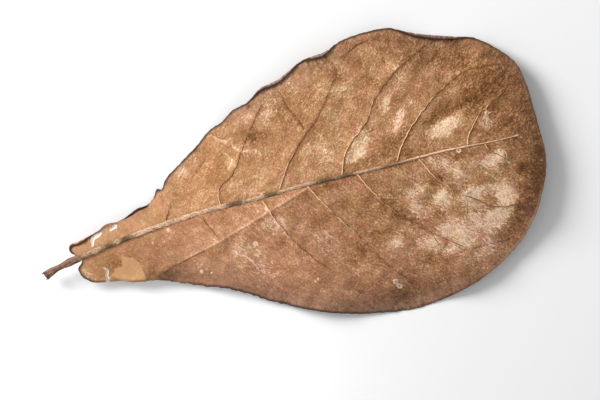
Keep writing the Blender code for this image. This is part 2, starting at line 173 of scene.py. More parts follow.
# How uneven the edge and the veins are, and where the edge is rougher; where cross veins stand
RAGGED_EDGE = 0.12
ROUGH_EDGE = 0.32
ROUGH_UP_TO = 105
ROUGH_BELOW = -18
VEIN_WAVER = 0.16
CROSS_VEINS_START = 5
CROSS_VEIN_EVERY = 6.5

# Wrinkles that stand up from the blade, and narrow ones that are sunk into it. In the blade's tone
# the raised ones are painted paler and the sunk ones painted darker, as shade in their creases.
RAISED_FOLDS = [
    [(94.7, 40.0), (98.5, 36.5), (101.8, 36.7), (101.5, 33.2), (103.8, 30.1), (108.0, 29.3),
     (112.1, 28.1), (112.9, 25.4)],
    [(97.0, 31.4), (99.1, 27.5), (96.7, 23.4)], [(73.2, 27.1), (75.7, 28.8), (77.2, 26.8)],
    [(198.5, -17.8), (202.4, -16.7)],
    [(62, -11), (75, -8.6), (93, -4.5), (112, 0.5), (129, 5)],
    [(89, -14.5), (93.2, -17.5), (96.7, -24.1)],
]
SUNK_FOLDS = [
    [(93.7, 42.0), (96.0, 39.3), (98.9, 38.0)], [(87.2, 31.0), (82.8, 27.5), (79.7, 25.1)],
    [(146.0, 60.6), (146.3, 55.7)], [(128, 54.5), (128.8, 51.5), (127.5, 49)],
    [(149.5, 60.1), (150.6, 55.6)],
    [(153.8, 60.7), (157.0, 54.9), (156.8, 51.4)], [(179.9, 53.0), (179.2, 44.7)],
    [(129.3, 51.1), (130.7, 43.4), (133.3, 37.9), (135.1, 31.9)],
    [(175.0, 62.8), (171.1, 62.1), (164.3, 59.4), (161.1, 56.7)],
    [(183.4, -37.5), (184.2, -43.5)],
    [(184.2, -43.5), (192.8, -43.6), (202.5, -43.6), (211.9, -44.4)],
    [(52, -14.6), (60, -12.1), (68, -10.4), (75, -9.2)],
]

# Small pale rings and blots left on the blade: where, and their radius
RINGS = [(98.7, -12.7, 0.8), (155.8, -47.9, 0.85), (157.0, -50.3, 1.0), (200.6, 2.0, 0.8)]
BLOTS = [(107.9, -10.8, 0.7), (71.0, -17.8, 1.1), (75.3, -19.8, 0.6), (108.4, 1.3, 1.3),
         (111.5, -7.8, 0.9), (121.7, -36.5, 0.7), (120.2, -37.3, 0.6), (204.6, -25.0, 0.6),
         (228.8, 0.7, 0.8), (61.9, 4.8, 1.1), (107.7, 8.4, 1.0), (58.5, 0.3, 0.6), (104, 1.2, 0.8),
         (53.3, 1.1, 0.6), (113.0, -11.5, 0.7), (116.8, -17.8, 0.5), (109.2, -1.0, 0.7)]
BLOT_WANDER = 1.6

# Faint short veins of the next order
SHORT_VEINS = [[(182.7, -9.7), (182.4, -13), (182.7, -16.3)],
               [(197.7, -21), (197.2, -24), (196, -28.3)],
               [(133, 41), (135.4, 35.5), (137, 30)], [(166, 60.7), (169.5, 62.4), (173.3, 63)],
               [(176, -29), (178.5, -32.5), (179.5, -37)],
               [(186, -38.5), (189.5, -42), (193, -43.5)],
               [(160, -46), (166, -48), (171, -52)], [(106.3, 32.5), (101, 34), (97, 33.6)]]
SHORT_VEIN_HALF_WIDTH = 0.2
SHORT_VEIN_RISE = 0.22
SHORT_VEIN_PALE = 0.35
SHORT_VEIN_FAINTNESS = 0.8

# Side veins: half width and rise over the blade, at the midrib and at the far end; then for
# each vein how much of it is pale and how faint it is, with what its far end adds to that and
# how much narrower a faint one is. Each vein has a stretch of the streaks' noise of its own.
VEIN_HALF_WIDTH = (0.37, 0.2)
VEIN_RISE = (0.48, 0.2)
VEIN_KEEL = 0.1
VEIN_RUNS_APART = 70
SHORT_VEIN_RUNS_START = 1200
SHORT_VEIN_RUNS_APART = 30
FAR_FADING = 0.1
NEAR_FADING = 0.3
FAINT_NARROWER = 0.45
PALE_SHARE = [0.2, 0.25, 0.4, 0.7, 0.8, 1.0, 0.2, 0.7, 0.9, 0.8, 0.7, 0.6]
FAINTNESS = [1.0, 0.6, 0.7, 0.15, 0.05, 0.2, 0.6, 0.0, 0.2, 0.2, 0.1, 0.4]

# Patches drawn paler or darker than the rest of the blade: along, across, half length,
# half width, turn in degrees, strength. The first two numbers say how each fades outwards.
PATCH_FALL = 0.7
PATCH_EDGE = 1.3
PALE_PATCHES = [
    (20, -5, 4, 6, 0, 0.5), (27, -9.5, 5, 2, 0, 0.45), (76, 26, 5, 5, 0, 0.25),
    (153, -22.5, 5, 3, 0, 0.35), (142, -9, 6, 3, 10, 0.2), (112, -7, 4, 4, 0, 0.3),
    (132, -33, 6, 5, 0, 0.25), (163, -9, 5, 3, -30, 0.4), (108, -6, 6, 4.5, 10, 0.4),
    (142.2, -51.8, 1.5, 5, 0, 0.4), (176, -52, 3, 3, 0, 0.3), (190, -1.5, 4, 2.5, 0, 0.5),
    (209.5, -18.5, 4, 2.5, 0, 0.6), (153, 13, 4, 2.5, 30, 0.5), (82, 33, 5, 3, 30, 0.3),
    (94, 43, 3, 1.5, 30, 0.3), (123, 15, 4, 3, 0, 0.3), (175.5, 18, 3, 2, 60, 0.5),
    (190, 1.5, 8, 2.5, -5, 0.35), (177, -4, 3, 2.5, 0, 0.4), (124, 53, 2, 2, 0, 0.4),
    (50, -7, 3, 4, 0, 0.25), (166, -26, 6, 3, 0, 0.4), (200, -32, 4, 4, 0, 0.4),
    (197, 12, 4, 3, 0, 0.3), (83, 15.5, 5, 3, 0, 0.4), (100, 14.5, 4, 3, 0, 0.4),
    (72, 31, 3, 2, 30, 0.3), (175, 32.5, 4, 2, 60, 0.85), (179, 24, 6, 2, 60, 0.8),
    (158, 15, 6, 3, 40, 0.6), (150, 14, 4, 1.5, 60, 0.5), (200, 14.5, 7, 3, 8, 0.8),
    (216, 9, 3, 2, 0, 0.5), (213, 20, 3, 2, 0, 0.4), (218, -24, 4, 4, 0, 0.9),
    (214, -7, 5, 3, 0, 0.8), (218, -5, 3, 3, 0, 0.8), (201, -18, 4, 2.5, 10, 0.85),
    (195.5, -10.5, 3, 3, 0, 0.5), (187, -17, 4, 4, 60, 1.0), (176, -10, 8, 3, 10, 0.65),
    (174, -16, 3, 5, 0, 0.55), (180, -22, 5, 5, 0, 0.3), (161, -31, 4, 3, 0, 0.85),
    (178, -36, 4, 3.5, -45, 0.85), (190, -32, 6, 5, 0, 0.7), (193, -38, 5, 4, 0, 0.65),
    (184, -41, 4, 2.5, 0, 0.7), (212, -32, 4, 3, 0, 0.8), (207, -31, 4, 3, 0, 0.5),
    (203, -35, 6, 3, 0, 0.5), (98, 26, 3, 4, 0, 0.5), (98.5, 43, 1.5, 2.5, 80, 0.5),
    (110, 45, 3, 4, 60, 0.45), (120, 42, 4, 4, 0, 0.3), (150, 57, 3, 4, 0, 0.35),
    (145, 50, 5, 5, 0, 0.15), (140, 45, 8, 6, 0, 0.3), (76, 28, 3, 2, 0, 0.3),
    (88, 29, 2, 2, 0, 0.35), (194, -4, 3.5, 3, 0, 0.5), (205, -6, 3, 2, 0, 0.5),
    (224, -18, 2, 3, 0, 0.4), (227, -28, 3, 2, 0, 0.3), (99.5, 35, 2, 0.8, -40, 0.6),
    (103, 32, 2.5, 0.8, -45, 0.6), (109, 28.5, 4, 0.8, -20, 0.5), (196.1, 13.5, 7, 3, 15, 0.9),
    (196.8, -8.7, 3, 5, 0, 0.6), (201.3, -20.4, 7, 3, 10, 0.7), (216, -25.2, 4.5, 7, 0, 0.9),
    (208.6, -33.8, 6, 4, 20, 0.85), (202.3, -44, 5, 4, 20, 0.75), (194.9, -47.5, 6, 2.5, 10, 0.6),
    (184.9, -32.4, 4, 4, 0, 0.75), (171.8, -33.4, 3, 2, 0, 0.5), (154.9, -38.8, 3, 3, 0, 0.35),
    (110.2, -6.5, 5, 3, 0, 0.3), (89.8, -14.7, 7, 3, 30, 0.35), (98.6, -25.4, 7, 5, 0, 0.2),
    (93.5, -31.9, 8, 3, -20, 0.3), (122.8, 45.4, 4, 6, 0, 0.6), (134.4, 57.2, 2.5, 5, 0, 0.6),
    (136.2, 22.9, 3, 3, 0, 0.35), (141.6, 16.5, 5, 3, 30, 0.4), (156.7, 16.1, 3.5, 7, -20, 0.6),
    (161.1, 22.8, 3, 4, 0, 0.5), (183.2, 46, 2.5, 6, 20, 0.45), (202.7, 52.2, 7, 3, -20, 0.35),
    (176.4, 52.8, 3, 3, 0, 0.3), (159.9, 51.3, 3, 3, 0, 0.3), (160.6, 45.4, 3, 3, 0, 0.3),
    (186.4, 29.7, 2.5, 3.5, 0, 0.5), (177.1, 25.3, 3, 3, 0, 0.3), (127, 8.5, 4, 3, 0, 0.35),
    (130.5, -19, 4, 3, 0, 0.55), (217.7, 13.3, 3, 4, 0, 0.6), (87.8, -7.7, 4, 3, 0, 0.2),
    (93, -14, 8, 5, -50, 0.35), (100, -27, 8, 6, -60, 0.3), (72, -17, 4, 3, 0, 0.35),
    (138, 20, 8, 6, 0, 0.35), (169, 31, 4, 4, 0, 0.35), (157, 43, 4, 4, 0, 0.35),
    (211.6, 36.1, 3, 4, 0, 0.4), (199.8, -25, 4, 4, 0, 0.5), (189, -41, 5, 3, 0, 0.5),
    (192, 4, 6, 2.5, 5, 0.3), (191, 15, 3, 2, 0, 0.3), (174, -20, 4, 4, 0, 0.4),
]
DARK_PATCHES = [
    (112.5, 34.5, 5, 4, -20, 0.6), (222, -32, 8, 5, 40, 0.4), (187, -8, 6, 3.5, -20, 0.4),
    (167, -13, 10, 2, -45, 0.2), (180, -38, 3, 3, 0, 0.3), (157, 51, 3, 3, 0, 0.4),
    (103, 38, 6, 3, -30, 0.2), (155, -58, 20, 5, 0, 0.25), (215.9, 23.4, 9, 6, 10, 0.5),
    (226.9, 28.2, 6, 5, 0, 0.4), (173, 13.5, 7, 3, 25, 0.7), (166, -19, 9, 2.5, -38, 0.45),
    (143.6, -28.2, 3.5, 8, -20, 0.5), (87.1, 22.2, 7, 6, 0, 0.25), (87.4, 34.2, 5, 4, 0, 0.3),
    (139.7, -47.2, 2.5, 2.5, 0, 0.5), (170.6, 44.1, 2.5, 3.5, 0, 0.45),
    (181.2, -17.7, 3.5, 3, 0, 0.25), (153.7, -24, 4, 3, 0, 0.3), (199.6, 22.6, 4, 3, 0, 0.35),
    (73.7, 20.6, 5, 4, 0, 0.15), (34.1, -4.6, 4, 3, 0, 0.35), (177.6, -40.7, 4, 3, 0, 0.35),
    (187.8, -24.8, 4, 2.5, 0, 0.25), (205.5, -0.6, 6, 1.5, -5, 0.4), (177, 7, 5, 2.5, 10, 0.5),
    (160, 9.4, 8, 2, 5, 0.45), (141, 10.2, 4, 3, 0, 0.35), (157, -13.7, 4, 4, 0, 0.2),
    (153, -27, 4, 4, 0, 0.3), (177, -43.7, 5, 3, 0, 0.3), (212.8, -41.3, 6, 3, 30, 0.3),
    (220.6, -36, 4, 4, 0, 0.4), (185, 55, 4, 4, 0, 0.3), (168, 57, 4, 4, 0, 0.3),
    (213, 42, 5, 5, 0, 0.3), (228, 42, 4, 4, 0, 0.3), (194, 20, 5, 2, 15, 0.4),
    # The patch at (55.5, -15.2) is painted shade where the crease ends.
    (69.5, 23.3, 4, 3, 0, 0.3), (55.5, -15.2, 6.5, 2, -12, 0.8), (235.6, -12.9, 4, 6, 0, 0.6),
    (231, -22, 3, 6, 0, 0.5), (226, -14, 4, 3, 0, 0.4), (189.5, 10.5, 3, 2, 0, 0.4),
    (175.6, -9.6, 4, 3, 0, 0.35), (198, -1, 3, 2.5, 0, 0.5), (197.8, -16, 3, 2.5, -45, 0.55),
    (224, -22, 3, 5, 0, 0.45), (155, 59, 6, 2, 0, 0.3), (139, 3.5, 10, 2.5, 8, 0.35),
    (167, 63.5, 7, 2, 0, 0.4), (101, 44.5, 4, 2, 25, 0.6), (201, 19.5, 8, 1.5, 8, 0.5),
    (154, -3, 4, 2.5, 0, 0.35), (174, 3, 5, 2, 0, 0.4), (158, -7.5, 3.5, 2, -30, 0.4),
    (193.5, 16.5, 3, 2, 0, 0.45), (112, 48.5, 8, 1.5, 25, 0.5), (180, 62.5, 5, 2, 0, 0.4),
    (155.6, -58.6, 4, 2, 0, 0.4), (161, -53.5, 2.5, 2, 0, 0.3), (133, -52, 4, 2, -20, 0.3),
]
BROAD_SHADES = [
    (246, 5, 18, 60, 0, 0.6), (215, 52, 28, 16, -35, 0.4), (222, 22, 16, 22, 0, 0.2),
    (42, -8, 16, 10, 0, 0.2), (228, -38, 22, 16, 45, 0.35), (150, -60, 60, 9, 0, 0.74),
    (160, -32, 26, 26, 0, 0.1), (160, -10, 26, 12, 0, 0.12), (100, -42, 50, 7, -33, 0.72),
    (195, 52, 14, 8, 0, 0.15), (190, -54, 25, 6, 10, 0.15), (131, 45, 14, 10, 0, 0.26),
    (112, -38, 12, 6, -30, 0.25), (226, 6, 8, 6, 0, 0.25),
]
BARE_PATCH = [(37.5, -0.3), (42.8, -3.3), (45, -6.7), (45.3, -14.4), (35, -12), (30.5, -7.8),
              (33, -5.6), (36.7, -5)]

# How the finish changes over the leaf; most have one line for each half, far and near.
# CREASE_SLANT makes a gap across the leaf one square to the crease; OFF_CREASE stands for far off.
# LEE_FADING is for a faint vein and for a vein's far end. The strands of the plush slant outwards.
BASE_TONE = 0.49
# The far half's tone is painted a little darker and the near half's paler, to even out how the lamp
# lights their two slopes: painted shade and painted light.
FAR_DARKER = 0.025
FAR_DARKER_FROM = 6
LEE_SPREAD = 0.95
LEE_FADING = (0.6, 0.45)
STRAND_SLANT = 0.8
STRAND_SQUEEZE = 0.6
PINKER_OUTSIDE = 0.3
PINKER_BEYOND = 20
DUST_REACH = 10
TIP_BAND_REACH = 6.5
CREASE_SLANT = 0.94
OFF_CREASE = -9.0
PINKNESS = ([(24, 0.3), (60, 0.35), (100, 0.3), (150, 0.3), (185, 0.4), (237, 0.3)],
            [(24, 0.25), (50, 0.55), (65, 0.85), (100, 0.8), (140, 0.6), (180, 0.4), (237, 0.35)])
PLUSH = [(35, 0.3), (90, 0.75), (150, 1.0), (200, 1.2)]
DARK_RIM = ([(0, 1), (29, 1), (35, 0.5), (43, 0.3), (45, 1), (55, 1), (56, 0.2), (59, 0.2), (60, 1),
             (222, 1), (236, 0.7)],
            [(0, 1), (23, 1), (28, 0.5), (60, 0.5), (70, 1), (125, 1), (185, 0.6), (205, 0)])
PALE_RIM = ([(229, 0), (234, 0.7)], [(190, 0), (208, 1), (228, 1), (235, 0.1)])
DUSTY = ([(20, 0.4), (60, 0.3), (75, 0.1), (95, 0.2), (110, 0.6), (135, 0.5), (180, 0.2),
          (237, 0.25)],
         [(40, 0), (62, 0.6), (110, 0.85), (180, 0.75), (205, 0.4), (237, 0.2)])
TIP_BAND = ([(228, 0), (238, 0.5)], [(213, 0), (226, 0.8), (236, 1)])

# How much each mark adds to the tone of the blade's underside. The marks in the grooves beside the
# ribs, on the side of each side vein turned from the light, and on both sides of the crease are
# painted shade and painted light.
TONE_SHARES = {"pale": 0.56, "flecks": 0.14, "strands": 0.15, "dark": -0.42, "shade": -0.42,
               "tip_band": -0.2, "beside_rib": -0.05, "rib_lee": -0.2, "net": 0.03,
               "fold": 0.26, "beyond_crease": -0.04, "before_crease": 0.03}

# Finishes of the stalk and the midrib: where each starts, the length in which it comes in,
# backwards if that is negative, and its most. Then the dark stains: where, and half how long.
RIB_FINISHES = {"stalk": (28, -12, 1), "outer": (165, 25, 1), "worn": (115, 20, 1),
                "browner": (58, -20, 0.8), "cut_end": (3, -2, 1)}
STAINED_LENGTHS = [(34, 3), (42, 3), (95, 5), (112, 4), (138, 5), (148, 4), (171, 6)]

# Finishes, as 8-bit colours; the two tints are factors. The mottle's rows are the name of its
# share, the size of its lumps, their detail and a shift.
LEAF_TONES = [(0.0, (84, 50, 25)), (0.25, (130, 87, 53)), (0.5, (169, 122, 86)),
              (0.7, (192, 149, 113)), (0.85, (213, 172, 140)), (1.0, (238, 206, 177))]
PINK_TINT = (1.05, 0.965, 1.04, 1)
OCHRE_TINT = (0.975, 1.03, 0.93, 1)
MOTTLE_SIZES = [("Broad", 20, 2.0, 0.3), ("Middle", 7.0, 4.0, 0.7), ("Fine", 2.2, 3.0, 1.1),
                ("Grain", 0.8, 1.0, 1.9)]
DUST = (156, 130, 113)
EDGE_BROWN = (66, 44, 38)
BARE_TAN = (198, 154, 110)
PALE_RIM_PINK = (178, 140, 120)
# The torn fibres' pale colour is partly their own and partly painted light that stands for the
# bright table seen through the tears.
TORN_FIBRE_AND_LIGHT = (236, 226, 208)
RING_CREAM = (244, 216, 186)
SMOOTH_SIDE = (98, 72, 60)
STRIP_LENGTH = 240
# The rolled strip's colours along the leaf are partly the other face's own and partly painted
# light: its paler stretches, the tan one by the stalk most of all, stand for where the strip turns
# to the light.
ROLLED_STRIP = [(0.14, (196, 150, 108)), (0.18, (84, 62, 54)), (0.28, (84, 62, 54)),
                (0.42, (146, 122, 108)), (0.68, (146, 122, 108)), (0.8, (140, 112, 102))]
# The ribs' colours come in pairs: a crest colour for the side towards the light and a darker one
# for the side turned from it, which is painted shade. STALK_RED and STALK_DARK are the stalk's
# pair; STALK_DARK is also its dark cut end.
RIB_CREST = (192, 156, 128)
RIB_WORN = (182, 150, 122)
RIB_BASE = (168, 140, 108)
RIB_BASE_SHADED_SIDE = (112, 84, 56)
RIB_SHADED_SIDE = (98, 66, 44)
RIB_STAIN = (82, 64, 40)
RIB_TIP = (226, 184, 152)
STALK_RED = (124, 92, 76)
STALK_DARK = (58, 42, 36)
# A vein shows its crest colours on the side towards the light and the darker shaded-side colour on
# the side turned from it, as painted shade.
VEIN_CREST_COLOUR = (226, 182, 144)
VEIN_OUTER = (130, 89, 58)
VEIN_SHADED_SIDE = (84, 50, 30)

# The photograph's framing: the leaf place in its middle, its width and how the leaf is turned
PHOTO_MIDDLE = (124.1, 0.8)
PHOTO_WIDTH = 277.2
PHOTO_TURN = math.radians(16.5)
FRAMING_HEIGHT = 9.0
LENS = 200.0
SENSOR = 36.0

# Where the light comes from, in the leaf's own directions, with distances in metres; each lamp's
# size in metres and power in watts
TOWARDS_LIGHT = np.array((-0.60, 0.66, 0.50))
WINDOW_DISTANCE = 1.2
TABLE_REACH = 1.5
TABLE_COLOUR = (0.86, 0.86, 0.86, 1)
ROOM_STRENGTH = 0.5
WINDOW = (0.7, 20.0)
FILL = (0.08, 0.045)
FILL_PLACE = (18.0, -95.0, 60.0)
FILL_TARGET = (30.0, -12.0, 0.0)


# Curves and distances in the flat pattern

def hermite(t, length, start, end, start_slope, end_slope):
    """The cubic from start to end with the given slopes, read at shares t of its length."""
    return ((1 + 2 * t) * (1 - t) ** 2 * start + t * (1 - t) ** 2 * length * start_slope
            + t * t * (3 - 2 * t) * end + t * t * (t - 1) * length * end_slope)


def steps(path):
    """The distance from each point of the path to the next."""
    return np.linalg.norm(np.diff(path, axis=0), axis=1)


def run_along(path):
    """How far along the path each of its points is."""
    return np.concatenate([[0], np.cumsum(steps(path))])


def smooth_path(points, step):
    """Points about one step apart on a smooth curve through the given points."""
    knots = np.array(points, dtype=float)
    slope = np.gradient(knots, run_along(knots), axis=0)
    places = [knots[:1]]
    for i, length in enumerate(steps(knots)):
        parts = max(1, round(length / step))
        t = (np.arange(parts) + 1)[:, None] / parts
        places.append(hermite(t, length, knots[i], knots[i + 1], slope[i], slope[i + 1]))
    return np.vstack(places)


def smooth_paths(lines, step):
    """The smooth path through the points of each line."""
    return [smooth_path(points, step) for points in lines]


def curve_at(points, x):
    """The smooth curve through (place, value) points, read at x and level past its ends."""
    place, value = np.array(points, dtype=float).T
    slope = np.gradient(value, place)
    x = np.clip(x, place[0], place[-1])
    i = np.clip(np.searchsorted(place, x) - 1, 0, len(place) - 2)
    length = place[i + 1] - place[i]
    return hermite((x - place[i]) / length, length, value[i], value[i + 1], slope[i], slope[i + 1])


def in_chunks(places):
    """The places in parts that are small enough to compare with every point of a path."""
    return np.array_split(places, len(places) // CHUNK + 1)


def nearest_on_path(places, path):
    """For each place, how far the path is and the nearest segment and share of it."""
    run = np.diff(path, axis=0)
    square = (run * run).sum(1)
    found = []
    for some in in_chunks(places):
        out = some[:, None, :] - path[None, :-1, :]
        share = np.clip((out * run).sum(2) / square, 0, 1)
        gap = np.linalg.norm(out - share[..., None] * run, axis=2)
        segment = gap.argmin(1)
        rows = np.arange(len(some))
        found.append((gap[rows, segment], segment, share[rows, segment]))
    return [np.concatenate(part) for part in zip(*found)]


def distance_to_path(places, path):
    """Distance from each place to the nearest point of the path."""
    return nearest_on_path(places, path)[0]


def inside(places, loop):
    """Whether each place is inside the closed loop."""
    x0, y0 = loop.T
    x1, y1 = np.roll(loop, -1, axis=0).T
    rise = np.where(y1 == y0, 1, y1 - y0)
    found = []
    for some in in_chunks(places):
        x, y = some.T[:, :, None]
        crossed = ((y0 > y) != (y1 > y)) & (x < x0 + (y - y0) * (x1 - x0) / rise)
        found.append(crossed.sum(1) % 2 == 1)
    return np.concatenate(found)


def leftward(path):
    """The unit vector to the left of the path at each point."""
    run = np.gradient(path, axis=0)
    left = np.column_stack([-run[:, 1], run[:, 0]])
    return left / np.linalg.norm(left, axis=1)[:, None]


def offset_path(path, distances):
    """The path moved to its left by the distance at each point."""
    return path + leftward(path) * np.broadcast_to(distances, len(path))[:, None]


def both_sides(path, distances):
    """The path moved to its left and the path moved to its right."""
    return offset_path(path, distances), offset_path(path, -distances)


def ragged(path, depth):
    """The path with the small irregular nicks of a dried edge."""
    s = run_along(path)
    nicks = (np.sin(s / 0.83 + 2 * np.sin(s / 7.1)) + 0.8 * np.sin(s / 0.41 + 3 * np.sin(s / 4.3))
             + 0.9 * np.sin(s / 2.3 + 1.0))
    return offset_path(path, depth * nicks / 2)


def wavering(path):
    """The path with a slight waver, as a vein has, and its ends where they were."""
    s = run_along(path)
    start = 7 * path[0, 0]
    waver = np.sin(s / 1.5 + 1.3 * np.sin(s / 3.7) + start) + 0.7 * np.sin(s / 0.62 + start)
    return offset_path(path, VEIN_WAVER * waver * np.sin(np.pi * s / s[-1]) ** 0.4)


def tear_sides(points):
    """Both sides of a tear, which narrows to a point at its first end."""
    path = smooth_path(points, EDGE_STEP)
    share = np.linspace(0, 1, len(path))
    half = EDGE_TEAR_HALF_WIDTH * np.sqrt(share) * (0.85 + 0.15 * np.sin(9 * share))
    return both_sides(path, half)


def closed_tear(points):
    """The closed loop of a tear inside the blade, narrow at both ends."""
    path = smooth_path(points, EDGE_STEP)
    share = np.linspace(0, 1, len(path))
    half = INNER_TEAR_HALF_WIDTH * share ** 0.8 * (1 - share) ** 0.4
    left, right = both_sides(path, half * (0.85 + 0.2 * np.sin(11 * share)))
    return np.vstack([left, right[-2:0:-1]])


def blade_outline(edge):
    """The blade's outline, once round and anticlockwise, closed under the stalk."""
    before, after = tear_sides(NEAR_TEAR)
    mouth = (before[-1] + after[-1]) / 2
    nearest = np.linalg.norm(edge - mouth, axis=1).argmin()
    width = np.linalg.norm(before[-1] - after[-1])
    clear = max(1, math.ceil(width / 2 / EDGE_STEP))
    return np.vstack([edge[:nearest - clear], after[::-1], before[1:], edge[nearest + clear:],
                      UNDER_STALK])


def cross_veins(veins):
    """Thin veins that step across from each side vein to the next, bowed outwards."""
    paths = smooth_paths(veins, 1.0)
    lines = []
    for inner, outer in zip(paths, paths[1:]):
        shorter = min(len(inner), len(outer))
        for i in np.arange(CROSS_VEINS_START, shorter - 1, CROSS_VEIN_EVERY).astype(int):
            start = inner[i]
            end = outer[min(i * len(outer) // len(inner) + 2, len(outer) - 1)]
            bow = (end - start)[::-1] * (0.08, -0.08)
            lines.append(smooth_path([start, (start + end) / 2 + bow, end], 1.0))
    return lines


def by_side(places, across_rib, values):
    """A value that changes along the leaf, with one line of points for each half."""
    far, near = [np.interp(places[:, 0], *np.array(points).T) for points in values]
    return np.where(across_rib > 0, far, near)


def from_midrib(places):
    """How far each place is across from the midrib, towards the far margin."""
    return places[:, 1] - curve_at(MIDRIB, places[:, 0])


class LeafShape:
    """The leaf's lines, worked out once, and the form that they give each place."""

    def __init__(self):
        plain = smooth_path(NEAR_LOBE + NEAR_MARGIN + TIP[::-1] + FAR_MARGIN[::-1]
                            + FAR_LOBE[::-1], EDGE_STEP)
        rough = (plain[:, 1] < ROUGH_BELOW) & (plain[:, 0] < ROUGH_UP_TO)
        rim = offset_path(plain, -by_side(plain, from_midrib(plain), RIM_OUTSIDE))
        self.edge = ragged(rim, np.where(rough, ROUGH_EDGE, RAGGED_EDGE))
        self.outline = blade_outline(self.edge)
        self.tears = [closed_tear(points) for points in FAR_TEARS]
        corner = np.linalg.norm(self.edge - FAR_MARGIN[-1], axis=1).argmin()
        self.far_edge = self.edge[corner:]
        self.rib = smooth_path(STALK + MIDRIB[1:], RIB_STEP)
        self.veins = [wavering(path) for path in smooth_paths(FAR_VEINS + NEAR_VEINS, VEIN_STEP)]
        self.short_veins = [wavering(path) for path in smooth_paths(SHORT_VEINS, VEIN_STEP)]
        self.coarse_veins = smooth_paths(FAR_VEINS + NEAR_VEINS, COARSE_STEP)
        self.crosses = cross_veins(FAR_VEINS) + cross_veins(NEAR_VEINS)
        self.raised = smooth_paths(RAISED_FOLDS, FOLD_STEP)
        self.sunk = smooth_paths(SUNK_FOLDS, FOLD_STEP)
        stalk = smooth_path(STALK, RIB_STEP)
        every = np.vstack([plain, *both_sides(stalk, curve_at(STALK_RADIUS, stalk[:, 0]))])
        self.middle = (every.min(axis=0) + every.max(axis=0)) / 2
        self.set_down = [(spot, self.form(np.array([spot], dtype=float))[0])
                         for spot in REST_SPOTS]

    def on_blade(self, places):
        """Whether each place is on the blade and not in a tear."""
        torn = sum(inside(places, tear) for tear in self.tears)
        return inside(places, self.outline) & (torn == 0)

    def form(self, places):
        """Height of the blade's middle surface as it would hang over the table."""
        along = places[:, 0]
        held = np.clip(along, BLADE_STARTS, REACH_ENDS)
        off = from_midrib(places)
        far = off > 0
        reach = np.where(far, curve_at(FAR_MARGIN, held), -curve_at(NEAR_MARGIN, held))
        reach = reach + np.where(far, -1, 1) * curve_at(MIDRIB, held)
        share = np.abs(off) / reach
        ridge = curve_at(RIDGE_HEIGHT, along)
        edge = np.where(far, curve_at(FAR_EDGE_HEIGHT, along), curve_at(NEAR_EDGE_HEIGHT, along))
        height = ridge + (edge - ridge) * share ** ROOF_ROUNDING
        height += self.crease_lift(along, off, reach)
        height += WAVE_HEIGHT * share ** 2 * np.sin(2 * np.pi * along / WAVE_LENGTH + 2 * far)
        return height + self.pucker(places) * np.minimum(1, np.abs(off) / PUCKER_STARTS)

    def crease_lift(self, along, off, reach):
        """The near half stays up as far as the crease, then falls to the margin."""
        to_crease = np.maximum(curve_at(MIDRIB, along) - curve_at(CREASE, along), 1)
        beyond = np.maximum(reach - to_crease, 1)
        rise = np.minimum(-off / to_crease, (reach + off) / beyond)
        start, end = CREASE[0][0], CREASE[-1][0]
        window = np.sin(np.pi * np.clip((along - start) / (end - start), 0, 1))
        return CREASE_LIFT * window ** 0.8 * np.maximum(rise, 0)

    def pucker(self, places):
        """The side veins lie on crests and the blade between them is puckered."""
        along, across = places.T
        turn = 2 * np.pi / PUCKER_LENGTH
        rough = np.sin(turn * along + 1.7 * np.sin(0.6 * turn * across))
        rough = rough * np.sin(0.9 * turn * across + 1.2 * np.sin(0.5 * turn * along))
        nearest = np.min([distance_to_path(places, vein) for vein in self.coarse_veins], axis=0)
        return PUCKER_HEIGHT * rough + VEIN_CREST * np.exp(-nearest / VEIN_CREST_SPREAD)

    def height(self, places):
        """Height of the middle surface once the leaf has settled onto its three spots."""
        height = self.form(places)
        for spot, over in self.set_down:
            gap = np.linalg.norm(places - spot, axis=1)
            lower = over - BLADE_THICKNESS / 2 + SET_DOWN_DEPTH
            height = height - lower * np.exp(-(gap / SET_DOWN_SPREAD) ** 2)
        return np.maximum(height, BLADE_THICKNESS / 2)

    def rolled(self, places):
        """The middle surface in space, with the far margin's strips rolled over."""
        gap, segment, share = nearest_on_path(places, self.far_edge)
        outward = -leftward(self.far_edge)
        outward = outward[segment] * (1 - share)[:, None] + outward[segment + 1] * share[:, None]
        beside = self.far_edge[segment, 0]
        turn = np.zeros(len(places))
        tail = np.zeros(len(places))
        for start, end, most_turn, most_tail in CURLED_SPANS:
            window = np.clip((beside - start) / (end - start), 0, 1)
            window = np.sin(np.pi * window) ** 0.4
            turn = np.maximum(turn, math.radians(most_turn) * window)
            tail = np.maximum(tail, most_tail * window ** 2)
        inner = np.maximum(CURL_BAND - gap, 0)
        flat = CURL_BAND - CURL_RADIUS * np.sin(np.minimum(turn, np.pi / 2))
        reach = inner * (flat + CURL_RADIUS * turn + tail) / CURL_BAND
        angle = np.clip((reach - flat) / CURL_RADIUS, 0, turn)
        beyond = np.maximum(reach - flat - CURL_RADIUS * turn, 0)
        out = (np.minimum(reach, flat) + CURL_RADIUS * np.sin(angle) + beyond * np.cos(turn))
        up = CURL_RADIUS * (1 - np.cos(angle)) + beyond * np.sin(turn)
        moved = places + outward * (out - inner)[:, None]
        return np.column_stack([moved, self.height(moved) + up])

    def roll_share(self, places):
        """Where the far margin beside each place is rolled over, from 0 to 1."""
        beside = self.far_edge[nearest_on_path(places, self.far_edge)[1], 0]
        shares = [np.clip(np.minimum(beside - start, end - beside) / 2, 0, 1)
                  for start, end, _, _ in CURLED_SPANS]
        return np.max(shares, axis=0)

    def in_space(self, points):
        """Points given in the pattern's millimetres, in metres in the frame."""
        return (points - np.append(self.middle, 0)) * MM

    def laid(self, path):
        """A path on the pattern at the height of the middle surface, in the frame."""
        return self.in_space(np.column_stack([path, self.height(path)]))


# The blade's mesh

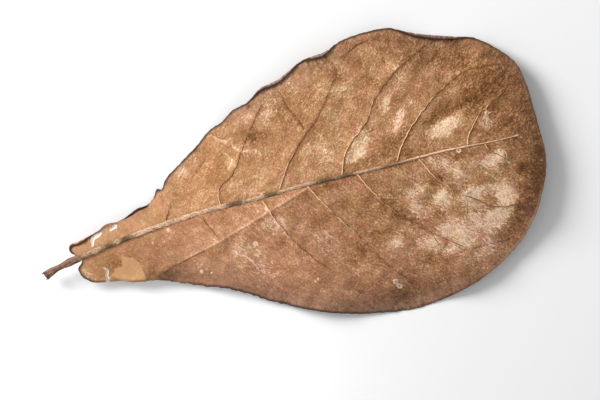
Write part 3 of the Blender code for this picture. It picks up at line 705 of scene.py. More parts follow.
def far_enough(points, fixed, clearance):
    """The points that keep the clearance to all the fixed ones."""
    tree = KDTree(len(fixed))
    for i, place in enumerate(fixed):
        tree.insert((*place, 0), i)
    tree.balance()
    return points[[tree.find((*place, 0))[2] > clearance for place in points]]


def thinned(points, clearance):
    """The points without those that lie too near an earlier one."""
    cell = np.round(points / clearance).astype(int)
    _, first = np.unique(cell, axis=0, return_index=True)
    return points[np.sort(first)]


def rib_side_points(shape):
    """Rows of points beside every side vein and the midrib, and on the folds."""
    rows = [row for path in shape.veins for distance in RIB_SIDE_ROWS
            for row in both_sides(path, distance)]
    rows += [offset_path(path, distance)
             for path in smooth_paths([CREASE], 1.0) + shape.raised + shape.sunk
             for distance in FOLD_ROWS]
    width = curve_at(MIDRIB_HALF_WIDTH, shape.rib[:, 0])
    for distance in MIDRIB_SIDE_ROWS:
        rows += both_sides(shape.rib, width + distance)
    points = np.vstack(rows)
    return thinned(points[shape.on_blade(points)], RIB_ROW_SPACING)


def hem_points(shape, border):
    """Rows of points beside the edge, closer together where it is rolled."""
    rows = []
    for distance in HEM_ROWS:
        row = offset_path(shape.far_edge, distance)
        rolled = [(row[:, 0] > start - 1) & (row[:, 0] < end + 1)
                  for start, end, _, _ in CURLED_SPANS]
        rows.append(row[np.any(rolled, axis=0)])
    rows += [offset_path(shape.edge, distance) for distance in PLAIN_HEM_ROWS]
    points = np.vstack(rows)
    points = far_enough(points[shape.on_blade(points)], border, HEM_CLEARANCE)
    return thinned(points, HEM_SPACING)


def quiet_fill(shape, fixed):
    """Staggered points over the whole blade, clear of the fixed ones."""
    (first, last), (low, high) = PATTERN_BOX
    rows = np.arange(low, high, FILL_STEP * math.sin(math.pi / 3))
    columns = np.arange(first, last, FILL_STEP)
    across, along = np.meshgrid(rows, columns, indexing="ij")
    along = along + (np.arange(len(rows)) % 2)[:, None] * FILL_STEP / 2
    draw = np.random.default_rng(3)
    points = np.column_stack([along.ravel(), across.ravel()])
    points = points + draw.uniform(-FILL_JITTER, FILL_JITTER, points.shape)
    return far_enough(points[shape.on_blade(points)], fixed, 0.5 * FILL_STEP)


def flat_blade(shape):
    """The flat pattern's places and triangles, all facing up."""
    loops = [shape.outline] + shape.tears
    fixed = np.vstack(loops)
    fixed = np.vstack([fixed, hem_points(shape, fixed)])
    fixed = np.vstack([fixed, far_enough(rib_side_points(shape), fixed, RIB_ROW_CLEARANCE)])
    edges = []
    first = 0
    for loop in loops:
        edges += [(first + i, first + (i + 1) % len(loop)) for i in range(len(loop))]
        first += len(loop)
    seeds = [Vector(place) for place in np.vstack([fixed, quiet_fill(shape, fixed)])]
    places, _, faces, *_ = delaunay_2d_cdt(seeds, edges, [], 0, JOIN_WITHIN)
    places = np.array([tuple(place) for place in places])
    faces = np.array(faces)
    faces = faces[shape.on_blade(places[faces].mean(axis=1))]
    used, numbers = np.unique(faces, return_inverse=True)
    places, faces = places[used], numbers.reshape(faces.shape)
    down = face_normals(np.column_stack([places, np.zeros(len(places))]), faces)[:, 2] < 0
    faces[down] = faces[down][:, ::-1]
    return places, faces


def face_normals(points, faces):
    """The normal of each triangle, as long as twice its area."""
    corners = points[faces]
    return np.cross(corners[:, 1] - corners[:, 0], corners[:, 2] - corners[:, 0])


def vertex_normals(points, faces):
    """Area-weighted normals of a triangle mesh."""
    normals = np.zeros_like(points)
    of_faces = face_normals(points, faces)
    for i in range(3):
        np.add.at(normals, faces[:, i], of_faces)
    return normals / np.linalg.norm(normals, axis=1)[:, None]


def closed_faces(faces, count):
    """The faces of both sides of a sheet and of the rim between them."""
    upper = [tuple(face) for face in faces.tolist()]
    sides = {(face[i - 1], face[i]) for face in upper for i in range(3)}
    rim = [(a, count + a, count + b, b) for a, b in sorted(sides) if (b, a) not in sides]
    lower = [(count + c, count + b, count + a) for a, b, c in upper]
    return upper + lower + rim


def new_mesh(name, points, edges=(), faces=()):
    """A mesh of points and what joins them."""
    mesh = bpy.data.meshes.new(name)
    mesh.from_pydata(np.asarray(points).tolist(), list(edges), list(faces))
    return mesh


def store(mesh, values):
    """Stores named values, one number or one vector for each point of a mesh."""
    for name, numbers in values.items():
        numbers = np.asarray(numbers, dtype=np.float32)
        kind, key = ("FLOAT", "value") if numbers.ndim == 1 else ("FLOAT_VECTOR", "vector")
        mesh.attributes.new(name, kind, "POINT").data.foreach_set(key, numbers.ravel())


def lines_mesh(name, lines):
    """A mesh of open lines in space."""
    edges = []
    first = 0
    for line in lines:
        edges += [(first + i, first + i + 1) for i in range(len(line) - 1)]
        first += len(line)
    return new_mesh(name, np.vstack(lines), edges)


def in_scene(name, data):
    """A new object that shows the data."""
    made = bpy.data.objects.new(name, data)
    bpy.context.scene.collection.objects.link(made)
    return made


# Node trees, written as sums

def linear(colour):
    """An 8-bit colour as the linear RGBA that a node takes."""
    parts = [c / 255 for c in colour]
    return (*[c / 12.92 if c <= 0.04045 else ((c + 0.055) / 1.055) ** 2.4 for c in parts], 1.0)


class Value:
    """What one output of a node gives. A sum with it makes the maths nodes for the sum."""

    def __init__(self, tree, socket):
        self.tree = tree
        self.socket = socket

    def part(self, name):
        """What another output of the same node gives."""
        return Value(self.tree, self.socket.node.outputs[name])

    def maths(self, operation, *others, clamp=False):
        """The result of one maths node."""
        return self.tree.add("ShaderNodeMath", dict(enumerate([self, *others])),
                             operation=operation, use_clamp=clamp)

    def __add__(self, other):
        return self.maths("ADD", other)

    def __mul__(self, other):
        return self.maths("MULTIPLY", other)

    def __sub__(self, other):
        return self.maths("SUBTRACT", other)

    def __rsub__(self, other):
        return self.maths("MULTIPLY_ADD", -1.0, other)

    def __truediv__(self, other):
        return self.maths("DIVIDE", other)

    def __rtruediv__(self, other):
        return self.tree.add("ShaderNodeMath", {0: other, 1: self}, operation="DIVIDE")

    def __abs__(self):
        return self.maths("ABSOLUTE")

    def clamped(self):
        """The value held between 0 and 1."""
        return self.maths("ADD", 0.0, clamp=True)

    def ramp(self, low, high, out_low=0.0, out_high=1.0, kind="SMOOTHSTEP"):
        """The value mapped from one range to another and held at its ends."""
        inputs = {"Value": self, "From Min": low, "From Max": high, "To Min": out_low,
                  "To Max": out_high}
        return self.tree.add("ShaderNodeMapRange", inputs, interpolation_type=kind)

    def vector(self, operation, other=None):
        """The result of one vector maths node."""
        inputs = {0: self}
        if other is not None:
            inputs["Scale" if operation == "SCALE" else 1] = other
        output = "Value" if operation in ("DISTANCE", "DOT_PRODUCT") else 0
        return self.tree.add("ShaderNodeVectorMath", inputs, output, operation=operation)

    def lumps(self, size, detail, roughness=0.5, distortion=0.0):
        """Noise about zero at this place, with lumps of a size in metres."""
        inputs = {"Vector": self, "Scale": 1.0 / size, "Detail": detail, "Roughness": roughness,
                  "Distortion": distortion}
        return self.tree.add("ShaderNodeTexNoise", inputs) - 0.5

    def noise(self, size, detail=2.0, shift=0.0):
        """Noise about zero at this place, with lumps of a size in millimetres."""
        moved = self.vector("ADD", (shift, shift, shift)) if shift else self
        return moved.lumps(size * MM, detail, 0.55)

    def uneven(self, size, detail, shift, depth, level=1.0):
        """Noise of a depth about a level."""
        return self.noise(size, detail, shift) * depth + level

    def wandered(self, scale, by, detail):
        """This place moved about by up to a distance."""
        noise = self.tree.add("ShaderNodeTexNoise",
                              {"Vector": self, "Scale": scale, "Detail": detail}, "Color")
        return self.vector("ADD", noise.vector("SCALE", by))


class Tree:
    """A node tree, in which every call makes a node and gives one of its Values."""

    def __init__(self, group):
        self.group = group

    def fill(self, node, inputs):
        """Links or sets a node's inputs, by name or by number."""
        for name, value in inputs.items():
            if isinstance(value, Value):
                self.group.links.new(value.socket, node.inputs[name])
            else:
                node.inputs[name].default_value = value

    def add(self, kind, inputs=None, output=0, **settings):
        """One output of a new node with these settings and inputs."""
        node = self.group.nodes.new(kind)
        for name, value in settings.items():
            setattr(node, name, value)
        self.fill(node, inputs or {})
        return Value(self, node.outputs[output])

    def end(self, value):
        """Makes the value the group's output, and ends the group."""
        self.group.links.new(value.socket, self.group.nodes["Group Output"].inputs[0])
        return self.group

    def use(self, group, **inputs):
        """The output of a node group with these inputs."""
        return self.add("ShaderNodeGroup", inputs, node_tree=group)

    def __getitem__(self, name):
        """A stored number, in a material."""
        return self.add("ShaderNodeAttribute", output="Fac", attribute_name=name)

    def place(self, name):
        """A stored place or direction, in a material."""
        return self.add("ShaderNodeAttribute", output="Vector", attribute_name=name)

    def named(self, name, kind="FLOAT"):
        """A stored attribute, in a geometry tree."""
        return self.add("GeometryNodeInputNamedAttribute", {"Name": name}, data_type=kind)

    def stored(self, geometry, name, value, kind="FLOAT"):
        """The geometry with a value stored on its points."""
        return self.add("GeometryNodeStoreNamedAttribute",
                        {"Geometry": geometry, "Name": name, "Value": value},
                        data_type=kind, domain="POINT")

    def xyz(self, *parts):
        """A vector of three parts."""
        return self.add("ShaderNodeCombineXYZ", dict(enumerate(parts)))

    def blend(self, share, first, second, kind="MIX"):
        """Two colours mixed by a share. Three plain numbers are an 8-bit colour."""
        first, second = [linear(colour) if isinstance(colour, tuple) and len(colour) == 3
                         else colour for colour in (first, second)]
        return self.add("ShaderNodeMix", {0: share, 6: first, 7: second}, 2,
                        data_type="RGBA", blend_type=kind)

    def shaded(self, colour, shade):
        """The colour multiplied by a shade."""
        return self.blend(1.0, colour, self.xyz(shade, shade, shade), "MULTIPLY")

    def colours(self, value, stops):
        """The colour that a row of stops gives for a value."""
        made = self.add("ShaderNodeValToRGB", {"Fac": value}, "Color")
        ends = made.socket.node.color_ramp.elements
        while len(ends) < len(stops):
            ends.new(0.5)
        for end, (at, colour) in zip(ends, stops):
            end.position = at
            end.color = linear(colour)
        return made

    def bump(self, height, distance):
        """Fine relief for a shader's normal."""
        return self.add("ShaderNodeBump", {"Height": height, "Distance": distance,
                                           "Strength": 1.0})


def new_tree(name, kind, inputs, output):
    """A node group, and its inputs by name: each has a number to start from or a kind of socket."""
    group = bpy.data.node_groups.new(name, kind)
    for label, value in inputs.items():
        socket = value if isinstance(value, str) else type(value).__name__.title()
        made = group.interface.new_socket(label, in_out="INPUT", socket_type="NodeSocket" + socket)
        if made.socket_type in ("NodeSocketFloat", "NodeSocketInt"):
            made.default_value = value
    socket = output if output in ("Geometry", "Color") else "Float"
    group.interface.new_socket(output, in_out="OUTPUT", socket_type="NodeSocket" + socket)
    group.nodes.new("NodeGroupOutput")
    given = group.nodes.new("NodeGroupInput").outputs
    tree = Tree(group)
    return tree, {label: Value(tree, given[label]) for label in inputs}


def new_material(name):
    """A node material, its tree and its shader."""
    material = bpy.data.materials.new(name)
    material.use_nodes = True
    return material, Tree(material.node_tree), material.node_tree.nodes["Principled BSDF"]


def baked(name, mesh, group, values):
    """The plain mesh object that a geometry tree makes of a mesh."""
    rough = in_scene(name + "_rough", mesh)
    modifier = rough.modifiers.new("shape", "NODES")
    modifier.node_group = group
    for item in group.interface.items_tree:
        if item.in_out == "INPUT" and item.name in values:
            modifier[item.identifier] = values[item.name]
    depsgraph = bpy.context.evaluated_depsgraph_get()
    made = bpy.data.meshes.new_from_object(rough.evaluated_get(depsgraph), depsgraph=depsgraph)
    made.name = name
    rough.modifiers.clear()
    bpy.data.objects.remove(rough)
    return in_scene(name, made)


# Geometry trees

def finished(t, geometry, material):
    """Ends a geometry tree with smooth shading, real geometry and its material."""
    smooth = t.add("GeometryNodeSetShadeSmooth", {"Geometry": geometry})
    real = t.add("GeometryNodeRealizeInstances", {"Geometry": smooth})
    return t.end(t.add("GeometryNodeSetMaterial", {"Geometry": real, "Material": material}))


def bell_beside(t, lines, place, spread):
    """One on the lines and falling to nothing beside them."""
    drawn = t.add("GeometryNodeObjectInfo", {"Object": lines}, "Geometry")
    gap = t.add("GeometryNodeProximity", {0: drawn, "Sample Position": place}, "Distance",
                target_element="EDGES") / spread
    return (gap * gap * -1.0).maths("EXPONENT")


def blade_tree():
    """Gives the blade its thickness and raises its cross veins, its net and its grain."""
    t, given = new_tree("blade relief", "GeometryNodeTree", {
        "Geometry": "Geometry", "Cross veins": "Object", "Raised folds": "Object",
        "Sunk folds": "Object", "Fold spread": 0.4 * MM, "Fold rise": 0.32 * MM,
        "Thickness": BLADE_THICKNESS * MM, "Cross vein rise": 0.1 * MM,
        "Cross vein spread": 0.6 * MM, "Cell size": 2.4 * MM, "Cell rise": 0.08 * MM,
        "Cell wall": 0.22, "Rumple size": 4.0 * MM, "Rumple rise": 0.2 * MM,
        "Sunk fold share": 0.8, "Other face share": 0.5, "Material": "Material"}, "Geometry")
    place = t.named("flat_place", "FLOAT_VECTOR")
    veins = bell_beside(t, given["Cross veins"], place, given["Cross vein spread"])
    raised, sunk = [bell_beside(t, given[lines], place, given["Fold spread"])
                    for lines in ("Raised folds", "Sunk folds")]
    folds = raised - sunk * given["Sunk fold share"]
    cells = t.add("ShaderNodeTexVoronoi", {"Vector": place.wandered(220.0, 2.5 * MM, 1.0),
                                           "Scale": 1.0 / given["Cell size"]},
                  "Distance", feature="DISTANCE_TO_EDGE")
    wall = cells.ramp(0.0, given["Cell wall"], 1.0, 0.0)
    relief = veins * given["Cross vein rise"] + wall * given["Cell rise"]
    rumple = place.lumps(given["Rumple size"], 3.0) * given["Rumple rise"]
    side = t.named("face_side")
    share = side.maths("GREATER_THAN", 0.0).maths("MAXIMUM", given["Other face share"])
    out_by = (side * (given["Thickness"] * 0.5) + relief * share
              + (rumple + folds * given["Fold rise"]))
    offset = t.named("facing", "FLOAT_VECTOR").vector("SCALE", out_by)
    moved = t.add("GeometryNodeSetPosition", {"Geometry": given["Geometry"], "Offset": offset})
    above_table = t.add("GeometryNodeInputPosition").vector("MAXIMUM", (-1.0, -1.0, 0.0))
    settled = t.add("GeometryNodeSetPosition", {"Geometry": moved, "Position": above_table})
    netted = t.stored(settled, "net", wall.maths("MAXIMUM", veins))
    return finished(t, t.stored(netted, "fold", folds), given["Material"])


def rib_tree():
    """Sweeps a round cord along each line, as wide, high and deep as its points say."""
    t, given = new_tree("tapered rib", "GeometryNodeTree", {
        "Geometry": "Geometry", "Sides": 12, "Groove size": 0.6 * MM, "Groove depth": 0.1 * MM,
        "Material": "Material"}, "Geometry")
    line = t.add("GeometryNodeMeshToCurve", {"Mesh": given["Geometry"]})
    line = t.add("GeometryNodeSetCurveNormal", {"Curve": line}, mode="Z_UP")
    line = t.stored(line, "centre", t.add("GeometryNodeInputPosition"), "FLOAT_VECTOR")
    ring = t.add("GeometryNodeCurvePrimitiveCircle", {"Resolution": given["Sides"], "Radius": MM})
    swept = t.add("GeometryNodeCurveToMesh",
                  {"Curve": line, "Profile Curve": ring, "Fill Caps": True})
    place = t.add("GeometryNodeInputPosition")
    centre = t.named("centre", "FLOAT_VECTOR")
    out = place.vector("SUBTRACT", centre)
    x = t.add("ShaderNodeSeparateXYZ", {0: out})
    y, z = x.part("Y"), x.part("Z")
    width = t.named("half_width") / MM
    is_up = z.maths("GREATER_THAN", 0.0)
    height = (is_up * t.named("crest") + (1.0 - is_up) * t.named("keel")) / MM
    stretched = place.vector("MULTIPLY", (0.12, 1.0, 1.0))
    depth = stretched.lumps(given["Groove size"], 2.0) * given["Groove depth"] * width
    moved = centre.vector("ADD", t.xyz(x * width, y * width, z * height))
    moved = moved.vector("ADD", out.vector("NORMALIZE").vector("SCALE", depth))
    marked = t.stored(swept, "rib_place", t.xyz(t.named("run"), y, z), "FLOAT_VECTOR")
    marked = t.stored(marked, "rib_side", out, "FLOAT_VECTOR")
    placed = t.add("GeometryNodeSetPosition", {"Geometry": marked, "Position": moved})
    return finished(t, placed, given["Material"])


# Materials

def mottle_group():
    """Uneven tone of a dried surface at four sizes, about zero."""
    t, given = new_tree("dried mottle", "ShaderNodeTree", {
        "Place": "Vector", "Broad": 0.3, "Middle": 0.3, "Fine": 0.3, "Grain": 0.7,
        "Dark share": 0.6}, "Tone")
    total = 0.0
    for label, size, detail, shift in MOTTLE_SIZES:
        total = given["Place"].noise(size, detail, shift) * given[label] + total
    return t.end(total.maths("MAXIMUM", total * given["Dark share"]))


def lace_group():
    """Turns a soft patch into a fibrous one: its strands stay where its edge fades."""
    t, given = new_tree("plush patch", "ShaderNodeTree", {
        "Place": "Vector", "Patch": 0.0, "Strands": 0.0, "Cloud size": 3.0 * MM}, "Share")
    patch = given["Patch"]
    clouds = given["Place"].lumps(given["Cloud size"], 3.0, 0.6)
    total = clouds * 1.3 + (given["Strands"] * 0.22 + patch)
    return t.end(patch * 0.25 + total.ramp(0.15, 0.85) * (patch * 0.75 + 0.05))


def strands_group():
    """Short pale strands of the plush underside, about zero."""
    t, given = new_tree("plush strands", "ShaderNodeTree", {
        "Place": "Vector", "Size": 2.0 * MM, "Twist": 1.0, "Width": 0.07}, "Share")
    wander = given["Place"].lumps(given["Size"], 2.0, 0.6, given["Twist"])
    return t.end(abs(wander).ramp(0.0, given["Width"], 1.0, -0.4))


def tone_group():
    """The dried leaf's colour for a tone from dark to pale, towards pink or towards ochre."""
    t, given = new_tree("dried leaf tone", "ShaderNodeTree", {"Tone": 0.5, "Pinkness": 0.0},
                        "Color")
    brown = t.colours(given["Tone"], LEAF_TONES)
    ochre, pink = [t.blend(1.0, brown, tint, "MULTIPLY") for tint in (OCHRE_TINT, PINK_TINT)]
    return t.end(t.blend(given["Pinkness"], ochre, pink))


def spotted(place):
    """One on the small pale rings and blots and nothing elsewhere."""
    place = place.wandered(1100.0, BLOT_WANDER * MM, 2.0)
    total = 0.0
    for along, across, radius in RINGS + BLOTS:
        centre = tuple((at + BLOT_WANDER / 2) * MM for at in (along, across, 0))
        off = place.vector("DISTANCE", centre)
        if (along, across, radius) in RINGS:
            on = abs(off - radius * MM).ramp(0.2 * MM, 0.5 * MM, 1.0, 0.0)
        else:
            on = off.ramp(0.5 * radius * MM, radius * MM, 0.8, 0.0)
        total = on.maths("MAXIMUM", total)
    return total


def blade_tone(t, place, mottle, strands):
    """How pale the underside is at each place, from 0 to 1."""
    pale = t.use(lace_group(), Place=place, Patch=t["pale"], Strands=strands)
    gap = t["crease_gap"]
    marks = {
        "pale": pale,
        "flecks": place.noise(1.1, 2.0, 8.3).ramp(0.12, 0.2),
        "strands": strands * (t["plush"] * place.uneven(8.0, 2.0, 9.1, 2.0) + pale),
        "dark": t["dark"] * place.uneven(4.0, 3.0, 3.1, 2.5),
        "tip_band": t["tip_band"] * place.uneven(3.0, 3.0, 6.6, 2.0),
        # Painted shade in the grooves beside the ribs
        "beside_rib": t["rib_gap"].ramp(0.3, 1.2, 1.0, 0.0),
        # Painted shade just beyond the crease and painted light just before it, where the slopes
        # turn from and towards the light
        "beyond_crease": gap.ramp(-0.25, 0.35) * gap.ramp(14.0, 1.0),
        "before_crease": gap.ramp(-0.1, -0.4) * gap.ramp(-8.5, -1.0)}
    marks.update({name: t[name] for name in ("shade", "rib_lee", "net", "fold")})
    tone = t["base_tone"] + mottle
    for name, share in TONE_SHARES.items():
        tone = marks[name] * share + tone
    return tone.maths("MINIMUM", 1.0)


def other_face(t, place, colour):
    """The other face: smooth and brown, with a speckled strip along its rolled margin, partly
    painted paler where the strip turns to the light.
    """
    along = t.add("ShaderNodeSeparateXYZ", {0: place}) / (STRIP_LENGTH * MM)
    speckle = place.noise(0.9, 2.0, 4.4).ramp(-0.12, 0.16, 0.62, 1.25)
    strip = t.shaded(t.colours(along, ROLLED_STRIP), speckle)
    on_strip = t["rolled"] * t["margin"].ramp(3.0, 6.0, 1.0, 0.0)
    return t.blend(on_strip, t.blend(0.75, colour, SMOOTH_SIDE), strip)


def underside(t, place, mottle, strands):
    """The colour of the face that the photograph shows, but for its rim."""
    tone = blade_tone(t, place, mottle, strands)
    hue = place.noise(9.0, 2.0, 4.7) * 2.2 + t["pink"] - t["dark"] * 0.3
    hue = (place.noise(1.6, 3.0, 5.9) * 2.8 + hue).clamped()
    dusty = (t["dusty"] * place.uneven(2.5, 3.0, 7.4, 2.2, 0.5)).clamped()
    bare = (place.noise(2.5, 3.0, 2.2) * 2.5 + t["bare"]).ramp(-0.3, 0.3, 0.0, 0.72)
    # The rim of each tear is paler, partly as painted light for the bright table seen through it
    torn = t["torn_gap"].ramp(0.15, 0.6, 0.85, 0.0)
    colour = t.use(tone_group(), Tone=tone, Pinkness=hue)
    for share, over in ((dusty, DUST), (bare, BARE_TAN), (spotted(place) * 0.8, RING_CREAM),
                        (torn, TORN_FIBRE_AND_LIGHT)):
        colour = t.blend(share, colour, over)
    return colour


def blade_material():
    """Dried underside: mottled brown, plush pale patches, dark rim; the other side smoother."""
    material, t, shader = new_material("dried_blade")
    place = t.place("flat_place")
    margin, plush = t["margin"], t["plush"]
    mottle = t.use(mottle_group(), Place=place, Broad=0.35, Middle=plush * 0.5 + 0.35, Fine=0.5,
                   Grain=plush * 0.6 + 0.3)
    strands = t.use(strands_group(), Place=t.place("strand_place"))
    colour = underside(t, place, mottle, strands)
    is_other = t["face_side"].ramp(0.2, -0.2, 0.0, 1.0)
    colour = t.blend(is_other, colour, other_face(t, place, colour))
    pale_rim = margin.ramp(0.5, 1.6, 0.5, 0.0) * t["pale_rim"]
    dark_rim = margin.ramp(0.2, 1.7 - is_other * 1.1, 0.9, 0.0) * t["dark_rim"]
    colour = t.blend(dark_rim, t.blend(pale_rim, colour, PALE_RIM_PINK), EDGE_BROWN)
    relief = place.noise(2.0, 2.0, 6.1) + strands
    t.fill(shader, {"Base Color": colour, "Roughness": 0.72 - mottle * 0.25 - is_other * 0.15,
                    "Specular IOR Level": 0.08, "Normal": t.bump(relief, 0.05 * MM)})
    return material


def streaks(rib_place, size):
    """Noise drawn out along a rib."""
    return rib_place.vector("MULTIPLY", (0.25, 1.0, 1.0)).noise(size, 3.0, 1.3)


def lit_side(t, dark_up_to, pale_from):
    """From the side of a rib that is turned from the light to the side towards it, 0 to 1."""
    towards = t.place("rib_side").vector("DOT_PRODUCT", tuple(TOWARDS_LIGHT))
    return towards.ramp(dark_up_to * MM, pale_from * MM, kind="LINEAR")


def midrib_material():
    """Streaky grey-brown cord with dark stains, red-brown along the stalk, with painted shade on
    its side turned from the light.
    """
    material, t, shader = new_material("dried_midrib")
    place = t.place("rib_place")
    streak = streaks(place, 0.55)
    speckle = place.noise(0.7, 2.0, 3.3)
    # Painted light and shade: the side towards the light takes the crest colours, the side turned
    # from it the darker ones
    lit = (streak * 2.2 + lit_side(t, -0.8, 0.25)).ramp(0.15, 0.8)
    browner = t["browner"]
    crest = t.blend(browner, t.blend(t["worn"], RIB_CREST, RIB_WORN), RIB_BASE)
    colour = t.blend(lit, t.blend(browner, RIB_SHADED_SIDE, RIB_BASE_SHADED_SIDE), crest)
    worn = speckle * 2.6 + streak * 2.2 + place.noise(3.5, 3.0) * 1.2 + t["stain"]
    for share, over in ((worn.ramp(0.35, 0.7, 0.0, 0.92), RIB_STAIN),
                        (t["outer"], t.blend(lit, RIB_SHADED_SIDE, RIB_TIP)),
                        (t["stalk"], t.blend(lit, STALK_DARK, STALK_RED)),
                        (t["cut_end"], STALK_DARK)):
        colour = t.blend(share, colour, over)
    shade = (speckle * 0.8 + streak).ramp(-0.16, 0.16, 0.6, 1.32)
    t.fill(shader, {"Base Color": t.shaded(colour, shade), "Roughness": streak * 0.3 + 0.72,
                    "Specular IOR Level": 0.2, "Normal": t.bump(streak, 0.2 * MM)})
    return material


def vein_material():
    """Pale cord that sinks into the blade's brown away from the midrib, with painted shade on its
    side turned from the light.
    """
    material, t, shader = new_material("dried_vein")
    place = t.place("rib_place")
    # Painted light and shade: the crest colour towards the light, the darker one on the side turned
    # from it
    lit = (streaks(place, 0.5) * 1.2 + lit_side(t, -0.55, 0.55)).ramp(0.2, 0.75)
    fresh = place.noise(4.0, 3.0) * 2.6 + t["fresh"]
    crest = t.blend(fresh.ramp(0.1, 0.8), VEIN_OUTER, VEIN_CREST_COLOUR)
    colour = t.blend(lit, t.blend(t["faint"], VEIN_SHADED_SIDE, VEIN_OUTER), crest)
    shade = place.noise(1.2, 2.0, 5.1).ramp(-0.15, 0.15, 0.8, 1.2)
    t.fill(shader, {"Base Color": t.shaded(colour, shade), "Roughness": 0.75,
                    "Specular IOR Level": 0.15, "Normal": t.bump(streaks(place, 0.4), 0.12 * MM)})
    return material


# The pieces

def patched(places, patches):
    """How strongly the patches cover each place, from 0 to 1."""
    bare = np.ones(len(places))
    for along, across, length, width, turn, strength in patches:
        c, s = math.cos(math.radians(turn)), math.sin(math.radians(turn))
        out = places - (along, across)
        x = (out[:, 0] * c + out[:, 1] * s) / length
        y = (out[:, 1] * c - out[:, 0] * s) / width
        bare *= 1 - strength * np.exp(-PATCH_FALL * (x * x + y * y) ** PATCH_EDGE)
    return 1 - bare


def crease_gap(places, across_rib):
    """How far each place is beyond the crease, away from the midrib; far off past its ends."""
    along, across = places.T
    past = np.maximum(CREASE[0][0] - along, along - CREASE[-1][0])
    gap = (curve_at(CREASE, along) - across) * CREASE_SLANT
    return np.where((past > 0) | (across_rib > 0), OFF_CREASE, gap)


def rib_gap(shape, places):
    """How far the nearest side vein or the midrib's side is."""
    midrib = distance_to_path(places, shape.rib) - curve_at(MIDRIB_HALF_WIDTH, places[:, 0])
    veins = [distance_to_path(places, vein) for vein in shape.coarse_veins]
    return np.min([*veins, np.maximum(midrib, 0)], axis=0)


def rib_lee(shape, places):
    """Where a place is close beside a side vein, on the side that is turned from the light."""
    most = np.zeros(len(places))
    if_faint, outwards = LEE_FADING
    for faintness, path in zip(FAINTNESS, shape.veins):
        gap, segment, share = nearest_on_path(places, path)
        run = np.diff(path, axis=0)
        out = places - (path[segment] + share[:, None] * run[segment])
        away = -(out @ TOWARDS_LIGHT[:2]) / np.maximum(gap, 0.01)
        fade = (1 - if_faint * faintness) * (1 - outwards * (segment + share) / len(run))
        most = np.maximum(most, np.exp(-(gap / LEE_SPREAD) ** 2) * np.clip(2 * away, 0, 1) * fade)
    return most


def blade_marks(shape, places):
    """What the blade's material and relief need to know of each place."""
    along, across_rib = places[:, 0], from_midrib(places)
    flat = np.column_stack([places, np.zeros(len(places))]) * MM
    strand = np.column_stack([along - STRAND_SLANT * np.abs(across_rib),
                              STRAND_SQUEEZE * across_rib, np.zeros(len(places))]) * MM
    margin = distance_to_path(places, shape.edge[::3])
    outside = np.clip(-across_rib / PINKER_BEYOND - 1, 0, 1)
    pink = by_side(places, across_rib, PINKNESS) + PINKER_OUTSIDE * outside
    tears = shape.tears + list(tear_sides(NEAR_TEAR))
    bare_loop = np.array(BARE_PATCH + BARE_PATCH[:1])
    bare = np.where(inside(places, bare_loop[:-1]), 1, -1) * distance_to_path(places, bare_loop)
    return {"flat_place": flat, "strand_place": strand, "margin": margin,
            "rib_gap": rib_gap(shape, places), "rib_lee": rib_lee(shape, places),
            "crease_gap": crease_gap(places, across_rib),
            "torn_gap": np.min([distance_to_path(places, path) for path in tears], axis=0),
            "pale": patched(places, PALE_PATCHES), "dark": patched(places, DARK_PATCHES),
            "shade": patched(places, BROAD_SHADES), "bare": np.clip(bare, -2, 2),
            "rolled": shape.roll_share(places) * (across_rib > 0), "pink": pink,
            # Painted shade on the far half and painted light on the near half, evening out the lamp
            # on the two slopes
            "base_tone": BASE_TONE - FAR_DARKER * np.tanh(across_rib / FAR_DARKER_FROM),
            "plush": np.interp(along, *np.array(PLUSH).T),
            "dark_rim": by_side(places, across_rib, DARK_RIM),
            "pale_rim": by_side(places, across_rib, PALE_RIM),
            "dusty": by_side(places, across_rib, DUSTY) * np.exp(-(margin / DUST_REACH) ** 2),
            "tip_band": (by_side(places, across_rib, TIP_BAND)
                         * np.exp(-(margin / TIP_BAND_REACH) ** 2))}


def flat_lines(name, paths):
    """Lines on the flat pattern as an object that a geometry tree can measure from."""
    return in_scene(name, lines_mesh(name, [np.column_stack([path, np.zeros(len(path))]) * MM
                                            for path in paths]))


def make_blade(shape, material):
    """The thin blade, both faces and its rim, with its curled margin and its net."""
    places, faces = flat_blade(shape)
    middle = shape.in_space(shape.rolled(places))
    mesh = new_mesh("leaf_blade_flat", np.vstack([middle, middle]),
                    faces=closed_faces(faces, len(places)))
    marks = {"facing": vertex_normals(middle, faces), **blade_marks(shape, places)}
    store(mesh, {name: np.concatenate([values, values]) for name, values in marks.items()})
    store(mesh, {"face_side": np.repeat([1.0, -1.0], len(places))})
    drawn = {"Cross veins": flat_lines("cross_vein_lines", shape.crosses),
             "Raised folds": flat_lines("raised_fold_lines", shape.raised),
             "Sunk folds": flat_lines("sunk_fold_lines", shape.sunk)}
    blade = baked("leaf_blade", mesh, blade_tree(), {**drawn, "Material": material})
    for lines in drawn.values():
        bpy.data.objects.remove(lines)
    return blade


def cord(path, half_width, crest, keel, run, **marks):
    """A path to sweep a rib along, and the values of its points: sizes in metres, then marks."""
    sizes = {"half_width": half_width, "crest": crest, "keel": keel, "run": run}
    values = {**{name: size * MM for name, size in sizes.items()}, **marks}
    return path, {name: np.broadcast_to(value, len(path)) for name, value in values.items()}


def swept(name, shape, cords, tree, settings):
    """The piece that is swept along the cords' paths, laid on the blade."""
    paths, values = zip(*cords)
    mesh = lines_mesh(name + "_lines", [shape.laid(path) for path in paths])
    store(mesh, {label: np.concatenate([each[label] for each in values]) for label in values[0]})
    return baked(name, mesh, tree, settings)


def rib_marks(along):
    """The finishes along the stalk and the midrib, each from 0 to 1."""
    marks = {name: np.clip((along - start) / length, 0, most)
             for name, (start, length, most) in RIB_FINISHES.items()}
    stain = sum(np.exp(-((along - at) / half) ** 2) for at, half in STAINED_LENGTHS)
    return {"stain": stain, **marks}


